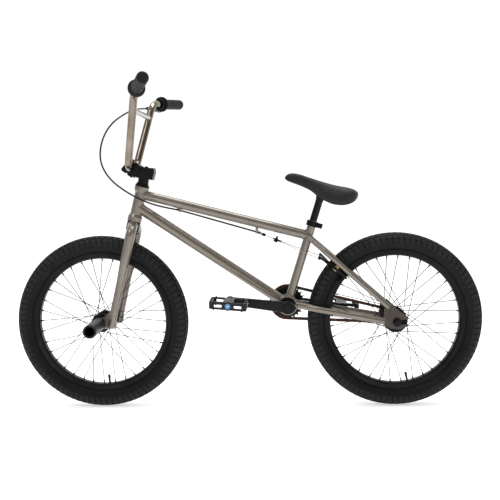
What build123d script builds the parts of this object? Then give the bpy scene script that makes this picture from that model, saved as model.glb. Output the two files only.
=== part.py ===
from build123d import *
from math import atan2, cos, pi, radians, sin, tan
import os

# A 20-inch freestyle BMX bike with a cable-pulled rear U-brake, in millimetres. The bike points along
# -X with its left side towards -Y and +Z up. The origin is on the ground, midway between the two
# tyres' contact points.

os.makedirs("parts", exist_ok=True)

# Driving dimensions --------------------------------------------------------------------------------
# Wheels and layout
WHEEL_RADIUS = 260.0
HALF_WHEELBASE = 439.3
FRONT_AXLE = (-HALF_WHEELBASE, 0.0, WHEEL_RADIUS)
REAR_AXLE = (HALF_WHEELBASE, 0.0, WHEEL_RADIUS)
BB_HEIGHT = 307.0
HEAD_ANGLE = 75.5
SEAT_ANGLE = 72.5

# Chain drive: half-inch pitch, 25 teeth driving 9
PITCH = 12.7
SPROCKET_TEETH = 25
COG_TEETH = 9
CHAIN_RUN_LINKS = 26
CHAINLINE = 46.0
ROLLER_RADIUS = 3.85
GULLET_RADIUS = 4.4
TOOTH_FLARE = 5.5
TOOTH_THICKNESS = 2.7

# Frame tubes
TOP_TUBE_RADIUS = 14.3
DOWN_TUBE_RADIUS = 15.9
SEAT_TUBE_RADIUS = 12.7
SEAT_TUBE_BORE = 11.15
TUBE_WALL = 1.6
HEAD_TUBE_RADIUS = 17.0
HEAD_CUP_RADIUS = 21.5
HEAD_TUBE_LENGTH = 104.0
HEAD_BORE = 15.6
BEARING_POCKET = 20.0
SHELL_RADIUS = 28.5
SHELL_HALF_WIDTH = 34.0
SHELL_BORE = 25.7
SEAT_STAY_RADIUS = 8.5
CHAIN_STAY_HEIGHT = 19.0
CHAIN_STAY_WIDTH = 16.0
REAR_DROPOUT_INNER = 55.0
DROPOUT_THICKNESS = 6.0

# Axles and running fits
RUNNING_GAP = 0.05
FRONT_AXLE_RADIUS = 5.0
REAR_AXLE_RADIUS = 7.0
AXLE_END = 8.0
GROOVE_DEPTH = 0.5
GROOVE_WIDTH = 1.5
GROOVE_GAP = 0.4
AXLE_REACH = GROOVE_GAP + GROOVE_WIDTH + AXLE_END
SPINDLE_RADIUS = 11.0
STEERER_RADIUS = 14.3
POST_RADIUS = 11.1
PEDAL_PIN_RADIUS = 6.0

# Fork
LEG_TOP_RADIUS = 14.5
LEG_END_RADIUS = 11.5
LEG_OFFSET = 60.0
FORK_DROPOUT_INNER = 50.0

# Bars
BAR_RADIUS = 11.1
BAR_BORE = 9.3
CROSSBAR_RADIUS = 7.95

# Cranks
CRANK_LENGTH = 170.0
CRANK_RISE = 7.2
ARM_INNER = 61.0
ARM_THICKNESS = 14.0

# Brake
HOUSING_RADIUS = 2.5
WIRE_RADIUS = 0.9
BRAKE_RADIUS = 236.6
BRAKE_ANGLE = 137.2
BOSS_OFFSET = 46.0


# Frames of reference --------------------------------------------------------------------------------
def side_point(x, z, y=0.0):
    """A point given by its place in the side view and its distance from the middle plane."""
    return (x, y, z)


def shifted(plane, along):
    """The same plane moved along its own normal."""
    return Plane(plane.origin + plane.z_dir * along, x_dir=plane.x_dir, z_dir=plane.z_dir)


def across(point):
    """A plane at a point whose normal runs across the bike, towards its right side."""
    return Plane(point, x_dir=(1, 0, 0), z_dir=(0, 1, 0))


HEAD_LEAN = radians(90 - HEAD_ANGLE)
HEAD = Plane(
    side_point(-336.4, 564.0),
    x_dir=(cos(HEAD_LEAN), 0, -sin(HEAD_LEAN)),
    z_dir=(sin(HEAD_LEAN), 0, cos(HEAD_LEAN)),
)


def head_point(ahead, height, y=0.0):
    """A point given by its distance ahead of the steering axis and its height along that axis."""
    return HEAD.from_local_coords((-ahead, y, height))


# The chain's two straight runs fix the distance from the crank spindle to the rear axle.
SPROCKET_PITCH_RADIUS = PITCH / (2 * sin(pi / SPROCKET_TEETH))
COG_PITCH_RADIUS = PITCH / (2 * sin(pi / COG_TEETH))
SPROCKET_LAST = radians(180 - 6 * 360 / SPROCKET_TEETH)
COG_LAST = radians(2 * 360 / COG_TEETH)
RUN_RISE = SPROCKET_PITCH_RADIUS * sin(SPROCKET_LAST) - COG_PITCH_RADIUS * sin(COG_LAST)
RUN_LENGTH = (CHAIN_RUN_LINKS * PITCH) ** 2 - RUN_RISE**2
CHAIN_CENTRES = (
    RUN_LENGTH**0.5 + SPROCKET_PITCH_RADIUS * cos(SPROCKET_LAST) - COG_PITCH_RADIUS * cos(COG_LAST)
)
BB_DROP = BB_HEIGHT - WHEEL_RADIUS
BB_X = HALF_WHEELBASE - (CHAIN_CENTRES**2 - BB_DROP**2) ** 0.5
BB = side_point(BB_X, BB_HEIGHT)

SEAT_LEAN = radians(90 - SEAT_ANGLE)
SEAT = Plane(
    BB,
    x_dir=(cos(SEAT_LEAN), 0, -sin(SEAT_LEAN)),
    z_dir=(sin(SEAT_LEAN), 0, cos(SEAT_LEAN)),
)


def seat_point(height, back=0.0, y=0.0):
    """A point given by its height along the seat tube's axis and its distance behind it."""
    return SEAT.from_local_coords((back, y, height))


# Shape helpers --------------------------------------------------------------------------------------
def turned(plane, outline):
    """A solid of revolution about the plane's normal, from (radius, height) corners."""
    side = Plane(plane.origin, x_dir=plane.x_dir, z_dir=-plane.y_dir)
    with BuildPart() as piece:
        with BuildSketch(side):
            with BuildLine():
                Polyline(*outline, close=True)
            make_face()
        revolve(axis=Axis(plane.origin, plane.z_dir))
    return piece.part


def ring(plane, low, high, outer, inner):
    """A plain ring between two heights."""
    return turned(plane, [(inner, low), (outer, low), (outer, high), (inner, high)])


def rod(start, end, radius, end_radius=None):
    """A solid round rod, or a cone when the end radius differs."""
    start = Vector(*start)
    end = Vector(*end)
    base = Plane(start, z_dir=end - start)
    length = (end - start).length
    with BuildPart() as piece:
        if end_radius is None:
            with BuildSketch(base):
                Circle(radius)
            extrude(amount=length)
        else:
            with BuildSketch(base):
                Circle(radius)
            with BuildSketch(shifted(base, length)):
                Circle(end_radius)
            loft()
    return piece.part


def swept(points, fillets, radius, bore=0.0):
    """A round rod or tube along straight runs joined by tangent arcs."""
    with BuildPart() as piece:
        with BuildLine() as path:
            FilletPolyline(*points, radius=fillets)
        line = path.line
        with BuildSketch(Plane(line @ 0, z_dir=line % 0)):
            Circle(radius)
            if bore:
                Circle(bore, mode=Mode.SUBTRACT)
        sweep(path=line)
    return piece.part


def plate(plane, outline, thickness):
    """A flat plate from an outline, thickened along the plane's normal."""
    with BuildPart() as piece:
        with BuildSketch(plane):
            with BuildLine():
                Polyline(*outline, close=True)
            make_face()
        extrude(amount=thickness)
    return piece.part


def strap(plane, start, end, start_radius, end_radius, thickness):
    """A flat arm with round ends, thickened along the plane's normal."""
    with BuildPart() as piece:
        with BuildSketch(plane):
            with Locations(start):
                Circle(start_radius)
            with Locations(end):
                Circle(end_radius)
            make_hull()
        extrude(amount=thickness)
    return piece.part


def block(plane, size, corner=0.0):
    """A box centred on the plane's origin, with its upright edges rounded."""
    with BuildPart() as piece:
        with BuildSketch(shifted(plane, -size[2] / 2)):
            if corner:
                RectangleRounded(size[0], size[1], corner)
            else:
                Rectangle(size[0], size[1])
        extrude(amount=size[2])
    return piece.part


def hex_nut(plane, low, high, across_flats, hole):
    """A hexagonal nut between two heights, with a plain hole."""
    with BuildPart() as piece:
        with BuildSketch(shifted(plane, low)):
            RegularPolygon(across_flats / 2, 6, major_radius=False)
            if hole:
                Circle(hole, mode=Mode.SUBTRACT)
        extrude(amount=high - low)
    return piece.part


def axle_outline(radius, left_end, right_end, grooves):
    """Radius and length corners of an axle with a narrow groove at each given place along it."""
    floor = radius - GROOVE_DEPTH
    outline = [(0, left_end), (radius, left_end)]
    for place in grooves:
        far = place + GROOVE_WIDTH
        outline += [(radius, place), (floor, place), (floor, far), (radius, far)]
    outline += [(radius, right_end), (0, right_end)]
    return outline


def mirrored(piece):
    """The same piece on the other side of the bike."""
    return mirror(piece, about=Plane.XZ)


def along(start, end, share):
    """A point part of the way from one point to another."""
    return Vector(*start) + (Vector(*end) - Vector(*start)) * share


def seat_frame(height, back=0.0):
    """The seat tube's own directions, placed along its axis and behind it."""
    return Plane(seat_point(height, back), x_dir=SEAT.x_dir, z_dir=SEAT.z_dir)


def stay(points, fillets, half_width, half_height):
    """A closed-ended oval tube along a bent path, open only where it meets the frame's front."""
    rear_end = along(points[-1], points[-2], 0.04)
    shapes = []
    for path_points, wall in ((points, 0.0), (points[:-1] + [rear_end], TUBE_WALL)):
        with BuildPart() as piece:
            with BuildLine() as path:
                FilletPolyline(*path_points, radius=fillets)
            line = path.line
            with BuildSketch(Plane(line @ 0, x_dir=(0, 1, 0), z_dir=line % 0)):
                Ellipse(half_width - wall, half_height - wall)
            sweep(path=line)
        shapes.append(piece.part)
    return shapes


def save(piece, name):
    """Write one node's STEP file."""
    piece.label = name
    export_step(piece, f"parts/{name}.step")


def save_group(pieces, name):
    """Write one node that is several separate solids."""
    solids = [solid for piece in pieces for solid in piece.solids()]
    save(Compound(label=name, children=solids), name)


# Places shared by several pieces --------------------------------------------------------------------
TOP_TUBE_FRONT = side_point(-315.9, 643.0)
TOP_TUBE_REAR = side_point(185.4, 512.8)
DOWN_TUBE_FRONT = side_point(-325.6, 605.9)
LEFT = -1
RIGHT = 1
SIDES = {"left": LEFT, "right": RIGHT}

head_outside = turned(
    HEAD,
    [
        (0, 0), (HEAD_CUP_RADIUS, 0), (HEAD_CUP_RADIUS, 12), (HEAD_TUBE_RADIUS, 21),
        (HEAD_TUBE_RADIUS, 85), (HEAD_CUP_RADIUS, 94), (HEAD_CUP_RADIUS, HEAD_TUBE_LENGTH),
        (0, HEAD_TUBE_LENGTH),
    ],
)
seat_tube_outside = rod(seat_point(0), seat_point(262), SEAT_TUBE_RADIUS)
shell_outside = rod((BB_X, -SHELL_HALF_WIDTH, BB_HEIGHT), (BB_X, SHELL_HALF_WIDTH, BB_HEIGHT), SHELL_RADIUS)


# Main frame -----------------------------------------------------------------------------------------
with BuildPart() as head_tube:
    add(head_outside)
    add(ring(HEAD, -1, HEAD_TUBE_LENGTH + 1, HEAD_BORE, 0), mode=Mode.SUBTRACT)
    add(ring(HEAD, -1, 8, BEARING_POCKET, 0), mode=Mode.SUBTRACT)
    add(ring(HEAD, HEAD_TUBE_LENGTH - 8, HEAD_TUBE_LENGTH + 1, BEARING_POCKET, 0), mode=Mode.SUBTRACT)
save(head_tube.part, "head_tube")

with BuildPart() as top_tube:
    add(rod(TOP_TUBE_FRONT, TOP_TUBE_REAR, TOP_TUBE_RADIUS))
    add(head_outside, mode=Mode.SUBTRACT)
    add(seat_tube_outside, mode=Mode.SUBTRACT)
    add(rod(TOP_TUBE_FRONT, TOP_TUBE_REAR, TOP_TUBE_RADIUS - TUBE_WALL), mode=Mode.SUBTRACT)
save(top_tube.part.solids().sort_by(SortBy.VOLUME)[-1], "top_tube")

top_tube_outside = rod(TOP_TUBE_FRONT, TOP_TUBE_REAR, TOP_TUBE_RADIUS)
with BuildPart() as down_tube:
    add(rod(DOWN_TUBE_FRONT, BB, DOWN_TUBE_RADIUS))
    add(head_outside, mode=Mode.SUBTRACT)
    add(top_tube_outside, mode=Mode.SUBTRACT)
    add(shell_outside, mode=Mode.SUBTRACT)
    add(seat_tube_outside, mode=Mode.SUBTRACT)
    add(rod(DOWN_TUBE_FRONT, BB, DOWN_TUBE_RADIUS - TUBE_WALL), mode=Mode.SUBTRACT)
save(down_tube.part.solids().sort_by(SortBy.VOLUME)[-1], "down_tube")

with BuildPart() as seat_tube:
    add(rod(seat_point(10), seat_point(262), SEAT_TUBE_RADIUS))
    add(rod(seat_point(0), seat_point(263), SEAT_TUBE_BORE), mode=Mode.SUBTRACT)
    add(shell_outside, mode=Mode.SUBTRACT)
    add(block(seat_frame(252, 12), (16, 2.4, 30)), mode=Mode.SUBTRACT)
save(seat_tube.part.solids().sort_by(SortBy.VOLUME)[-1], "seat_tube")

with BuildPart() as bottom_bracket_shell:
    add(ring(across(BB), -SHELL_HALF_WIDTH, SHELL_HALF_WIDTH, SHELL_RADIUS, SHELL_BORE))
save(bottom_bracket_shell.part, "bottom_bracket_shell")


# Rear triangle --------------------------------------------------------------------------------------
def rear_dropout(side):
    """A flat rear fork end with an axle slot that opens to the rear."""
    inner_face = Plane((0, side * REAR_DROPOUT_INNER, 0), x_dir=(1, 0, 0), z_dir=(0, -1, 0))
    if side == RIGHT:
        inner_face = shifted(inner_face, -DROPOUT_THICKNESS)
    outline = [
        (400, 252), (400, 276), (406, 312), (424, 312), (441, 296),
        (472, 274), (472, 248), (447, 238), (420, 241),
    ]
    slot_width = 2 * REAR_AXLE_RADIUS + 0.4
    with BuildPart() as piece:
        add(plate(inner_face, outline, DROPOUT_THICKNESS))
        with BuildSketch(shifted(inner_face, -1)):
            with Locations((HALF_WHEELBASE - 4, WHEEL_RADIUS)):
                Circle(slot_width / 2)
            with Locations((HALF_WHEELBASE + 21, WHEEL_RADIUS)):
                Rectangle(50, slot_width)
        extrude(amount=DROPOUT_THICKNESS + 2, mode=Mode.SUBTRACT)
    return piece.part


def stay_height(x):
    """Height of the seat stays' axes above the ground at a place along the bike."""
    return 464.8 - 0.8884 * (x - 236)


def chain_stay_height(x):
    """Height of the chain stays' axes above the ground at a place along the bike."""
    return 306.0 - 0.1787 * (x - 157)


rear_dropouts = [rear_dropout(side) for side in SIDES.values()]
save_group(rear_dropouts, "rear_dropouts")

seat_stay_path = [(186, 13, stay_height(186)), (236, 43, stay_height(236)), (417, 58, stay_height(417))]
seat_stay_outside, seat_stay_inside = stay(seat_stay_path, 50, SEAT_STAY_RADIUS, SEAT_STAY_RADIUS)
chain_stay_path = [
    (140, 26, chain_stay_height(140)),
    (178, 31, chain_stay_height(178)),
    (214, 43, chain_stay_height(214)),
    (404, 57, chain_stay_height(404)),
]
chain_stay_outside, chain_stay_inside = stay(
    chain_stay_path, 60, CHAIN_STAY_WIDTH / 2, CHAIN_STAY_HEIGHT / 2
)
brake_bridge = rod((246, -50, stay_height(246)), (246, 50, stay_height(246)), 6)
wheel_bridge = rod((163, -40, chain_stay_height(163)), (163, 40, chain_stay_height(163)), 5)

with BuildPart() as right_seat_stay:
    add(seat_stay_outside)
    add(seat_stay_inside, mode=Mode.SUBTRACT)
    add(seat_tube_outside, mode=Mode.SUBTRACT)
    add(top_tube_outside, mode=Mode.SUBTRACT)
    add(rear_dropouts[1], mode=Mode.SUBTRACT)
seat_stay_tube = right_seat_stay.part.solids().sort_by(SortBy.VOLUME)[-1]
with BuildPart() as seat_stay_bridge:
    add(brake_bridge)
    add(seat_stay_outside, mode=Mode.SUBTRACT)
    add(mirrored(seat_stay_outside), mode=Mode.SUBTRACT)
brake_bridge_middle = seat_stay_bridge.part.solids().sort_by(SortBy.VOLUME)[-1]
save_group([seat_stay_tube, mirrored(seat_stay_tube), brake_bridge_middle], "seat_stays")

with BuildPart() as right_chain_stay:
    add(chain_stay_outside)
    add(chain_stay_inside, mode=Mode.SUBTRACT)
    add(shell_outside, mode=Mode.SUBTRACT)
    add(seat_tube_outside, mode=Mode.SUBTRACT)
    add(rear_dropouts[1], mode=Mode.SUBTRACT)
chain_stay_tube = right_chain_stay.part.solids().sort_by(SortBy.VOLUME)[-1]
with BuildPart() as chain_stay_bridge:
    add(wheel_bridge)
    add(chain_stay_outside, mode=Mode.SUBTRACT)
    add(mirrored(chain_stay_outside), mode=Mode.SUBTRACT)
    add(shell_outside, mode=Mode.SUBTRACT)
bridge_pieces = chain_stay_bridge.part.solids().sort_by(Axis.Y)
wheel_bridge_middle = bridge_pieces[len(bridge_pieces) // 2]
save_group([chain_stay_tube, mirrored(chain_stay_tube), wheel_bridge_middle], "chain_stays")


# Small frame fittings -------------------------------------------------------------------------------
CABLE_ENTRY = side_point(-200.6, 594.0)
CABLE_STOP = side_point(36.0, 524.0)


def under_tube_guide(share, length):
    """A small braze-on under the top tube that the brake cable passes through."""
    centre = along(CABLE_ENTRY, CABLE_STOP, share)
    tube_share = (centre.X - TOP_TUBE_FRONT[0]) / (TOP_TUBE_REAR[0] - TOP_TUBE_FRONT[0])
    tube_middle = along(TOP_TUBE_FRONT, TOP_TUBE_REAR, tube_share).Z
    low = centre.Z - 4.5
    high = tube_middle - TOP_TUBE_RADIUS + 2
    direction = Vector(*CABLE_STOP) - Vector(*CABLE_ENTRY)
    reach = direction.normalized() * 20
    middle = Plane((centre.X, 0, (low + high) / 2))
    with BuildPart() as piece:
        add(block(middle, (length, 8, high - low), 2))
        add(rod(centre - reach, centre + reach, HOUSING_RADIUS + 0.1), mode=Mode.SUBTRACT)
        add(top_tube_outside, mode=Mode.SUBTRACT)
    return piece.part.solids().sort_by(SortBy.VOLUME)[-1]


save_group([under_tube_guide(share, 8) for share in (0.02, 0.98)], "cable_guides")

RADIAL = Vector(cos(radians(BRAKE_ANGLE)), 0, sin(radians(BRAKE_ANGLE)))
BRAKE = Plane(
    Vector(*REAR_AXLE) + RADIAL * BRAKE_RADIUS,
    x_dir=(0, 1, 0),
    z_dir=Vector(0, 1, 0).cross(RADIAL),
)


def brake_place(x, y, z=0.0):
    """A point given across the bike, out from the wheel's axle, and towards the seat stays."""
    return BRAKE.from_local_coords((x, y, z))


BOSS_PIN_RADIUS = 4.0


def brake_boss(side):
    """The brass pivot post that one brake arm turns on."""
    foot = Plane(brake_place(side * BOSS_OFFSET, 0), x_dir=BRAKE.x_dir, z_dir=BRAKE.z_dir)
    first_arm_face = -1.5 if side == LEFT else -8.7
    outline = [
        (0, 10), (7, 10), (7, first_arm_face), (BOSS_PIN_RADIUS, first_arm_face),
        (BOSS_PIN_RADIUS, first_arm_face - 7), (7, first_arm_face - 7),
        (6, first_arm_face - 10), (0, first_arm_face - 10),
    ]
    with BuildPart() as piece:
        add(turned(foot, outline))
        add(seat_stay_outside if side == RIGHT else mirrored(seat_stay_outside), mode=Mode.SUBTRACT)
    return piece.part.solids().sort_by(SortBy.VOLUME)[-1]


save_group([brake_boss(side) for side in SIDES.values()], "brake_bosses")

headset_bearings = [
    ring(HEAD, low, low + 7.2, BEARING_POCKET - 0.05, STEERER_RADIUS + RUNNING_GAP)
    for low in (0.4, HEAD_TUBE_LENGTH - 7.6)
]
crank_bearings = [
    ring(across(BB), low, low + 11, SHELL_BORE - 0.05, SPINDLE_RADIUS + RUNNING_GAP) for low in (-33, 22)
]
save_group(headset_bearings + crank_bearings, "frame_bearings")

CLAMP_HEIGHT = 253.0
with BuildPart() as clamp_collar:
    add(ring(seat_frame(CLAMP_HEIGHT), -8, 8, 17.5, SEAT_TUBE_RADIUS + 0.03))
    add(block(seat_frame(CLAMP_HEIGHT, 22), (18, 18, 14), 3))
    add(ring(seat_frame(CLAMP_HEIGHT), -9, 9, SEAT_TUBE_RADIUS + 0.03, 0), mode=Mode.SUBTRACT)
    add(block(seat_frame(CLAMP_HEIGHT, 23), (30, 3, 20)), mode=Mode.SUBTRACT)
    add(
        rod(seat_point(CLAMP_HEIGHT, 24, -20), seat_point(CLAMP_HEIGHT, 24, 20), 2.6),
        mode=Mode.SUBTRACT,
    )
with BuildPart() as clamp_bolt:
    add(rod(seat_point(CLAMP_HEIGHT, 24, -13), seat_point(CLAMP_HEIGHT, 24, 10), 2.5))
    add(rod(seat_point(CLAMP_HEIGHT, 24, -14), seat_point(CLAMP_HEIGHT, 24, -9), 4.2))
save_group([clamp_collar.part, clamp_bolt.part], "seat_clamp")

REAR_NUT_FACE = REAR_DROPOUT_INNER + DROPOUT_THICKNESS + 12
rear_axle_end = REAR_NUT_FACE + AXLE_REACH
rear_grooves = (-REAR_NUT_FACE - GROOVE_GAP - GROOVE_WIDTH, REAR_NUT_FACE + GROOVE_GAP)
rear_axle = turned(
    across(REAR_AXLE),
    axle_outline(REAR_AXLE_RADIUS, -rear_axle_end, rear_axle_end, rear_grooves),
)


def axle_hardware(axle, radius, inner_face, washer_radius, flats, sides):
    """Inner cones, washers and outer nuts that hold an axle in its slots."""
    pieces = []
    for side in sides:
        outward = Plane(axle, x_dir=(1, 0, 0), z_dir=(0, side, 0))
        outer_face = inner_face + DROPOUT_THICKNESS
        pieces.append(ring(outward, outer_face, outer_face + 2, washer_radius, radius + 0.03))
        pieces.append(hex_nut(outward, outer_face + 2, outer_face + 12, flats, radius + 0.03))
    for side in (LEFT, RIGHT):
        outward = Plane(axle, x_dir=(1, 0, 0), z_dir=(0, side, 0))
        pieces.append(ring(outward, inner_face - 3, inner_face, radius + 4, radius + 0.03))
    return pieces


rear_hardware = axle_hardware(REAR_AXLE, REAR_AXLE_RADIUS, REAR_DROPOUT_INNER, 13, 19, (LEFT, RIGHT))
save_group([rear_axle] + rear_hardware, "rear_axle")

# Chain ----------------------------------------------------------------------------------------------
LINE_ANGLE = atan2(WHEEL_RADIUS - BB_HEIGHT, HALF_WHEELBASE - BB_X)
CHAIN_LINE_DIRECTION = Vector(cos(LINE_ANGLE), 0, sin(LINE_ANGLE))


def wheel_point(centre, radius, angle, y=0.0):
    """A point at a radius and an angle (radians, from rearward towards upward) about a centre."""
    return Vector(centre[0] + radius * cos(angle), y, centre[2] + radius * sin(angle))


def chain_rollers():
    """Roller centres around the closed chain, in order."""
    sprocket_step = 2 * pi / SPROCKET_TEETH
    cog_step = 2 * pi / COG_TEETH
    places = []
    for k in range(-6, 7):
        angle = LINE_ANGLE + pi + k * sprocket_step
        places.append(wheel_point(BB, SPROCKET_PITCH_RADIUS, angle, CHAINLINE))
    lower_start = places[-1]
    lower_end = wheel_point(REAR_AXLE, COG_PITCH_RADIUS, LINE_ANGLE - 2 * cog_step, CHAINLINE)
    for k in range(1, CHAIN_RUN_LINKS):
        places.append(along(lower_start, lower_end, k / CHAIN_RUN_LINKS))
    for k in range(-2, 3):
        places.append(wheel_point(REAR_AXLE, COG_PITCH_RADIUS, LINE_ANGLE + k * cog_step, CHAINLINE))
    upper_start = places[-1]
    upper_end = places[0]
    for k in range(1, CHAIN_RUN_LINKS):
        places.append(along(upper_start, upper_end, k / CHAIN_RUN_LINKS))
    return places


def chain_plates(inner_face, thickness):
    """Two side plates of one link, facing each other across the chain."""
    with BuildPart() as piece:
        for low in (inner_face, -inner_face - thickness):
            with BuildSketch(Plane.XY.offset(low)):
                with Locations((PITCH / 2, 0)):
                    SlotCenterToCenter(PITCH, 8.4)
            extrude(amount=thickness)
    return piece.part


def chain_pins(radius, half_length):
    """Two round pins or rollers a pitch apart."""
    with BuildPart() as piece:
        with BuildSketch(Plane.XY.offset(-half_length)):
            with Locations((0, 0), (PITCH, 0)):
                Circle(radius)
        extrude(amount=2 * half_length)
    return piece.part


with BuildPart() as inner_link:
    add(chain_plates(1.7, 1.1))
    add(chain_pins(ROLLER_RADIUS, 1.8))
    add(chain_pins(1.9, 4), mode=Mode.SUBTRACT)
with BuildPart() as outer_link:
    add(chain_plates(2.9, 1.1))
    add(chain_pins(1.8, 4.3))

rollers = chain_rollers()
links = []
for number, start in enumerate(rollers):
    end = rollers[(number + 1) % len(rollers)]
    template = outer_link.part if number % 2 else inner_link.part
    place = Plane(start, x_dir=end - start, z_dir=(0, 1, 0))
    links.append(template.moved(place.location))
save_group(links, "chain")
print("chain links", len(rollers), "centre distance", round(CHAIN_CENTRES, 2))

# Rear brake cable on the frame ----------------------------------------------------------------------
with BuildPart() as rear_brake_housing:
    add(rod(along(CABLE_ENTRY, CABLE_STOP, 0.004), CABLE_STOP, HOUSING_RADIUS))
save(rear_brake_housing.part, "rear_brake_housing")

# Fork -----------------------------------------------------------------------------------------------
CROWN_RADIUS = 20.0
with BuildPart() as fork_steerer:
    add(
        turned(
            HEAD,
            [
                (12.3, -30), (CROWN_RADIUS, -30), (CROWN_RADIUS, -1.2), (STEERER_RADIUS, -1.2),
                (STEERER_RADIUS, 159), (12.3, 159),
            ],
        )
    )
save(fork_steerer.part, "fork_steerer")

leg_root = head_point(-1, -14, 12)
leg_shoulder = head_point(-6, -26, LEG_OFFSET - 8)
leg_end = head_point(-13.2, -321, LEG_OFFSET)
leg_taper_start = along(leg_shoulder, leg_end, 0.26)
leg_taper_end = along(leg_shoulder, leg_end, 0.52)
leg_inside_end = along(leg_shoulder, leg_end, 0.975)


def fork_leg_shape(wall):
    """One leg's outside, or its bore when a wall is taken off, bent in at the crown."""
    bottom = leg_inside_end if wall else leg_end
    upper = swept([leg_root, leg_shoulder, leg_taper_start], 27, LEG_TOP_RADIUS - wall)
    taper = rod(leg_taper_start, leg_taper_end, LEG_TOP_RADIUS - wall, LEG_END_RADIUS - wall)
    lower = rod(leg_taper_end, bottom, LEG_END_RADIUS - wall)
    with BuildPart() as piece:
        add(upper)
        add(taper)
        add(lower)
    return piece.part


def fork_dropout():
    """The flat plate on the right leg that holds the front axle, with its slot open below."""
    face = Plane(
        (0, FORK_DROPOUT_INNER + DROPOUT_THICKNESS, 0), x_dir=(1, 0, 0), z_dir=(0, -1, 0)
    )
    outline = [
        (-399, 306), (-390, 300), (-388, 254), (-394, 246),
        (-450, 245), (-456, 256), (-454, 269), (-444, 277), (-424, 281),
    ]
    slot_width = 2 * FRONT_AXLE_RADIUS + 0.2
    with BuildPart() as piece:
        add(plate(face, outline, DROPOUT_THICKNESS))
        with BuildSketch(shifted(face, -1)):
            with Locations((-HALF_WHEELBASE, WHEEL_RADIUS)):
                Circle(slot_width / 2)
            with Locations((-HALF_WHEELBASE, WHEEL_RADIUS - 15)):
                Rectangle(slot_width, 30)
        extrude(amount=DROPOUT_THICKNESS + 2, mode=Mode.SUBTRACT)
    return piece.part


right_fork_dropout = fork_dropout()
crown_outside = ring(HEAD, -30, -1.2, CROWN_RADIUS, 0)
with BuildPart() as fork_leg:
    add(fork_leg_shape(0.0))
    add(fork_leg_shape(2.0), mode=Mode.SUBTRACT)
    add(crown_outside, mode=Mode.SUBTRACT)
    add(right_fork_dropout, mode=Mode.SUBTRACT)
right_leg = fork_leg.part.solids().sort_by(SortBy.VOLUME)[-1]
fork_right_side = [right_leg, right_fork_dropout]
save_group(fork_right_side + [mirrored(piece) for piece in fork_right_side], "fork_legs")

STEM_BOTTOM = 128.0
STEM_TOP = 159.5
headset_cover = turned(
    HEAD,
    [
        (STEERER_RADIUS + 0.02, HEAD_TUBE_LENGTH + 0.6), (HEAD_CUP_RADIUS, HEAD_TUBE_LENGTH + 0.6),
        (HEAD_CUP_RADIUS, HEAD_TUBE_LENGTH + 3), (16.5, 116), (STEERER_RADIUS + 0.02, 116),
    ],
)
spacer = ring(HEAD, 116, STEM_BOTTOM - 0.2, 16, STEERER_RADIUS + 0.02)
save_group([headset_cover, spacer], "headset_cover")

# Stem -----------------------------------------------------------------------------------------------
BAR_CLAMP = side_point(-339.0, 721.0)
FACE_RISE = radians(37)
STEM = Plane(BAR_CLAMP, x_dir=(-cos(FACE_RISE), 0, sin(FACE_RISE)), z_dir=(0, 1, 0))
STEM_HALF_WIDTH = 25.0
FACEPLATE_FRONT = 20.0
bar_clamp_bore = rod((-339, -40, 721), (-339, 40, 721), BAR_RADIUS + 0.02)
stem_bolt_places = [(y, z) for y in (-15.5, 15.5) for z in (-16, 16)]


def stem_bolt_rod(y, z, low, high, radius):
    """A round length along one faceplate bolt's axis."""
    return rod(STEM.from_local_coords((low, y, z)), STEM.from_local_coords((high, y, z)), radius)


steerer_grip = [
    (-334, 699), (-318, 690), (-276.5, 684.6), (-270, 708), (-272, 720), (-300, 722), (-322, 716),
]
side_face = Plane((0, 20, 0), x_dir=(1, 0, 0), z_dir=(0, -1, 0))
pinch_slot = Plane(head_point(-26, 144), x_dir=HEAD.x_dir, z_dir=HEAD.z_dir)
with BuildPart() as stem_body:
    add(plate(side_face, steerer_grip, 40))
    with BuildSketch(shifted(STEM, -STEM_HALF_WIDTH)):
        with Locations((-12.5, 0)):
            RectangleRounded(24, 44, 5)
    extrude(amount=2 * STEM_HALF_WIDTH)
    add(ring(HEAD, 100, STEM_BOTTOM, 40, 0), mode=Mode.SUBTRACT)
    add(ring(HEAD, 100, 180, STEERER_RADIUS + 0.02, 0), mode=Mode.SUBTRACT)
    add(ring(HEAD, STEM_TOP - 0.1, 180, 16, 0), mode=Mode.SUBTRACT)
    add(bar_clamp_bore, mode=Mode.SUBTRACT)
    add(block(pinch_slot, (26, 2, 60)), mode=Mode.SUBTRACT)
    for y, z in stem_bolt_places:
        add(stem_bolt_rod(y, z, -16, 2, 2.55), mode=Mode.SUBTRACT)
    for height in (136, 151):
        add(rod(head_point(-22, height, -30), head_point(-22, height, 30), 2.55), mode=Mode.SUBTRACT)
save(stem_body.part.solids().sort_by(SortBy.VOLUME)[-1], "stem_body")

with BuildPart() as stem_faceplate:
    with BuildSketch(shifted(STEM, -STEM_HALF_WIDTH)):
        with Locations((0.6 + FACEPLATE_FRONT / 2, 0)):
            RectangleRounded(FACEPLATE_FRONT, 44, 6)
    extrude(amount=2 * STEM_HALF_WIDTH)
    add(bar_clamp_bore, mode=Mode.SUBTRACT)
    for y, z in stem_bolt_places:
        add(stem_bolt_rod(y, z, -2, 30, 2.55), mode=Mode.SUBTRACT)
        add(stem_bolt_rod(y, z, 17, 30, 4.6), mode=Mode.SUBTRACT)
save(stem_faceplate.part, "stem_faceplate")

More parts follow.
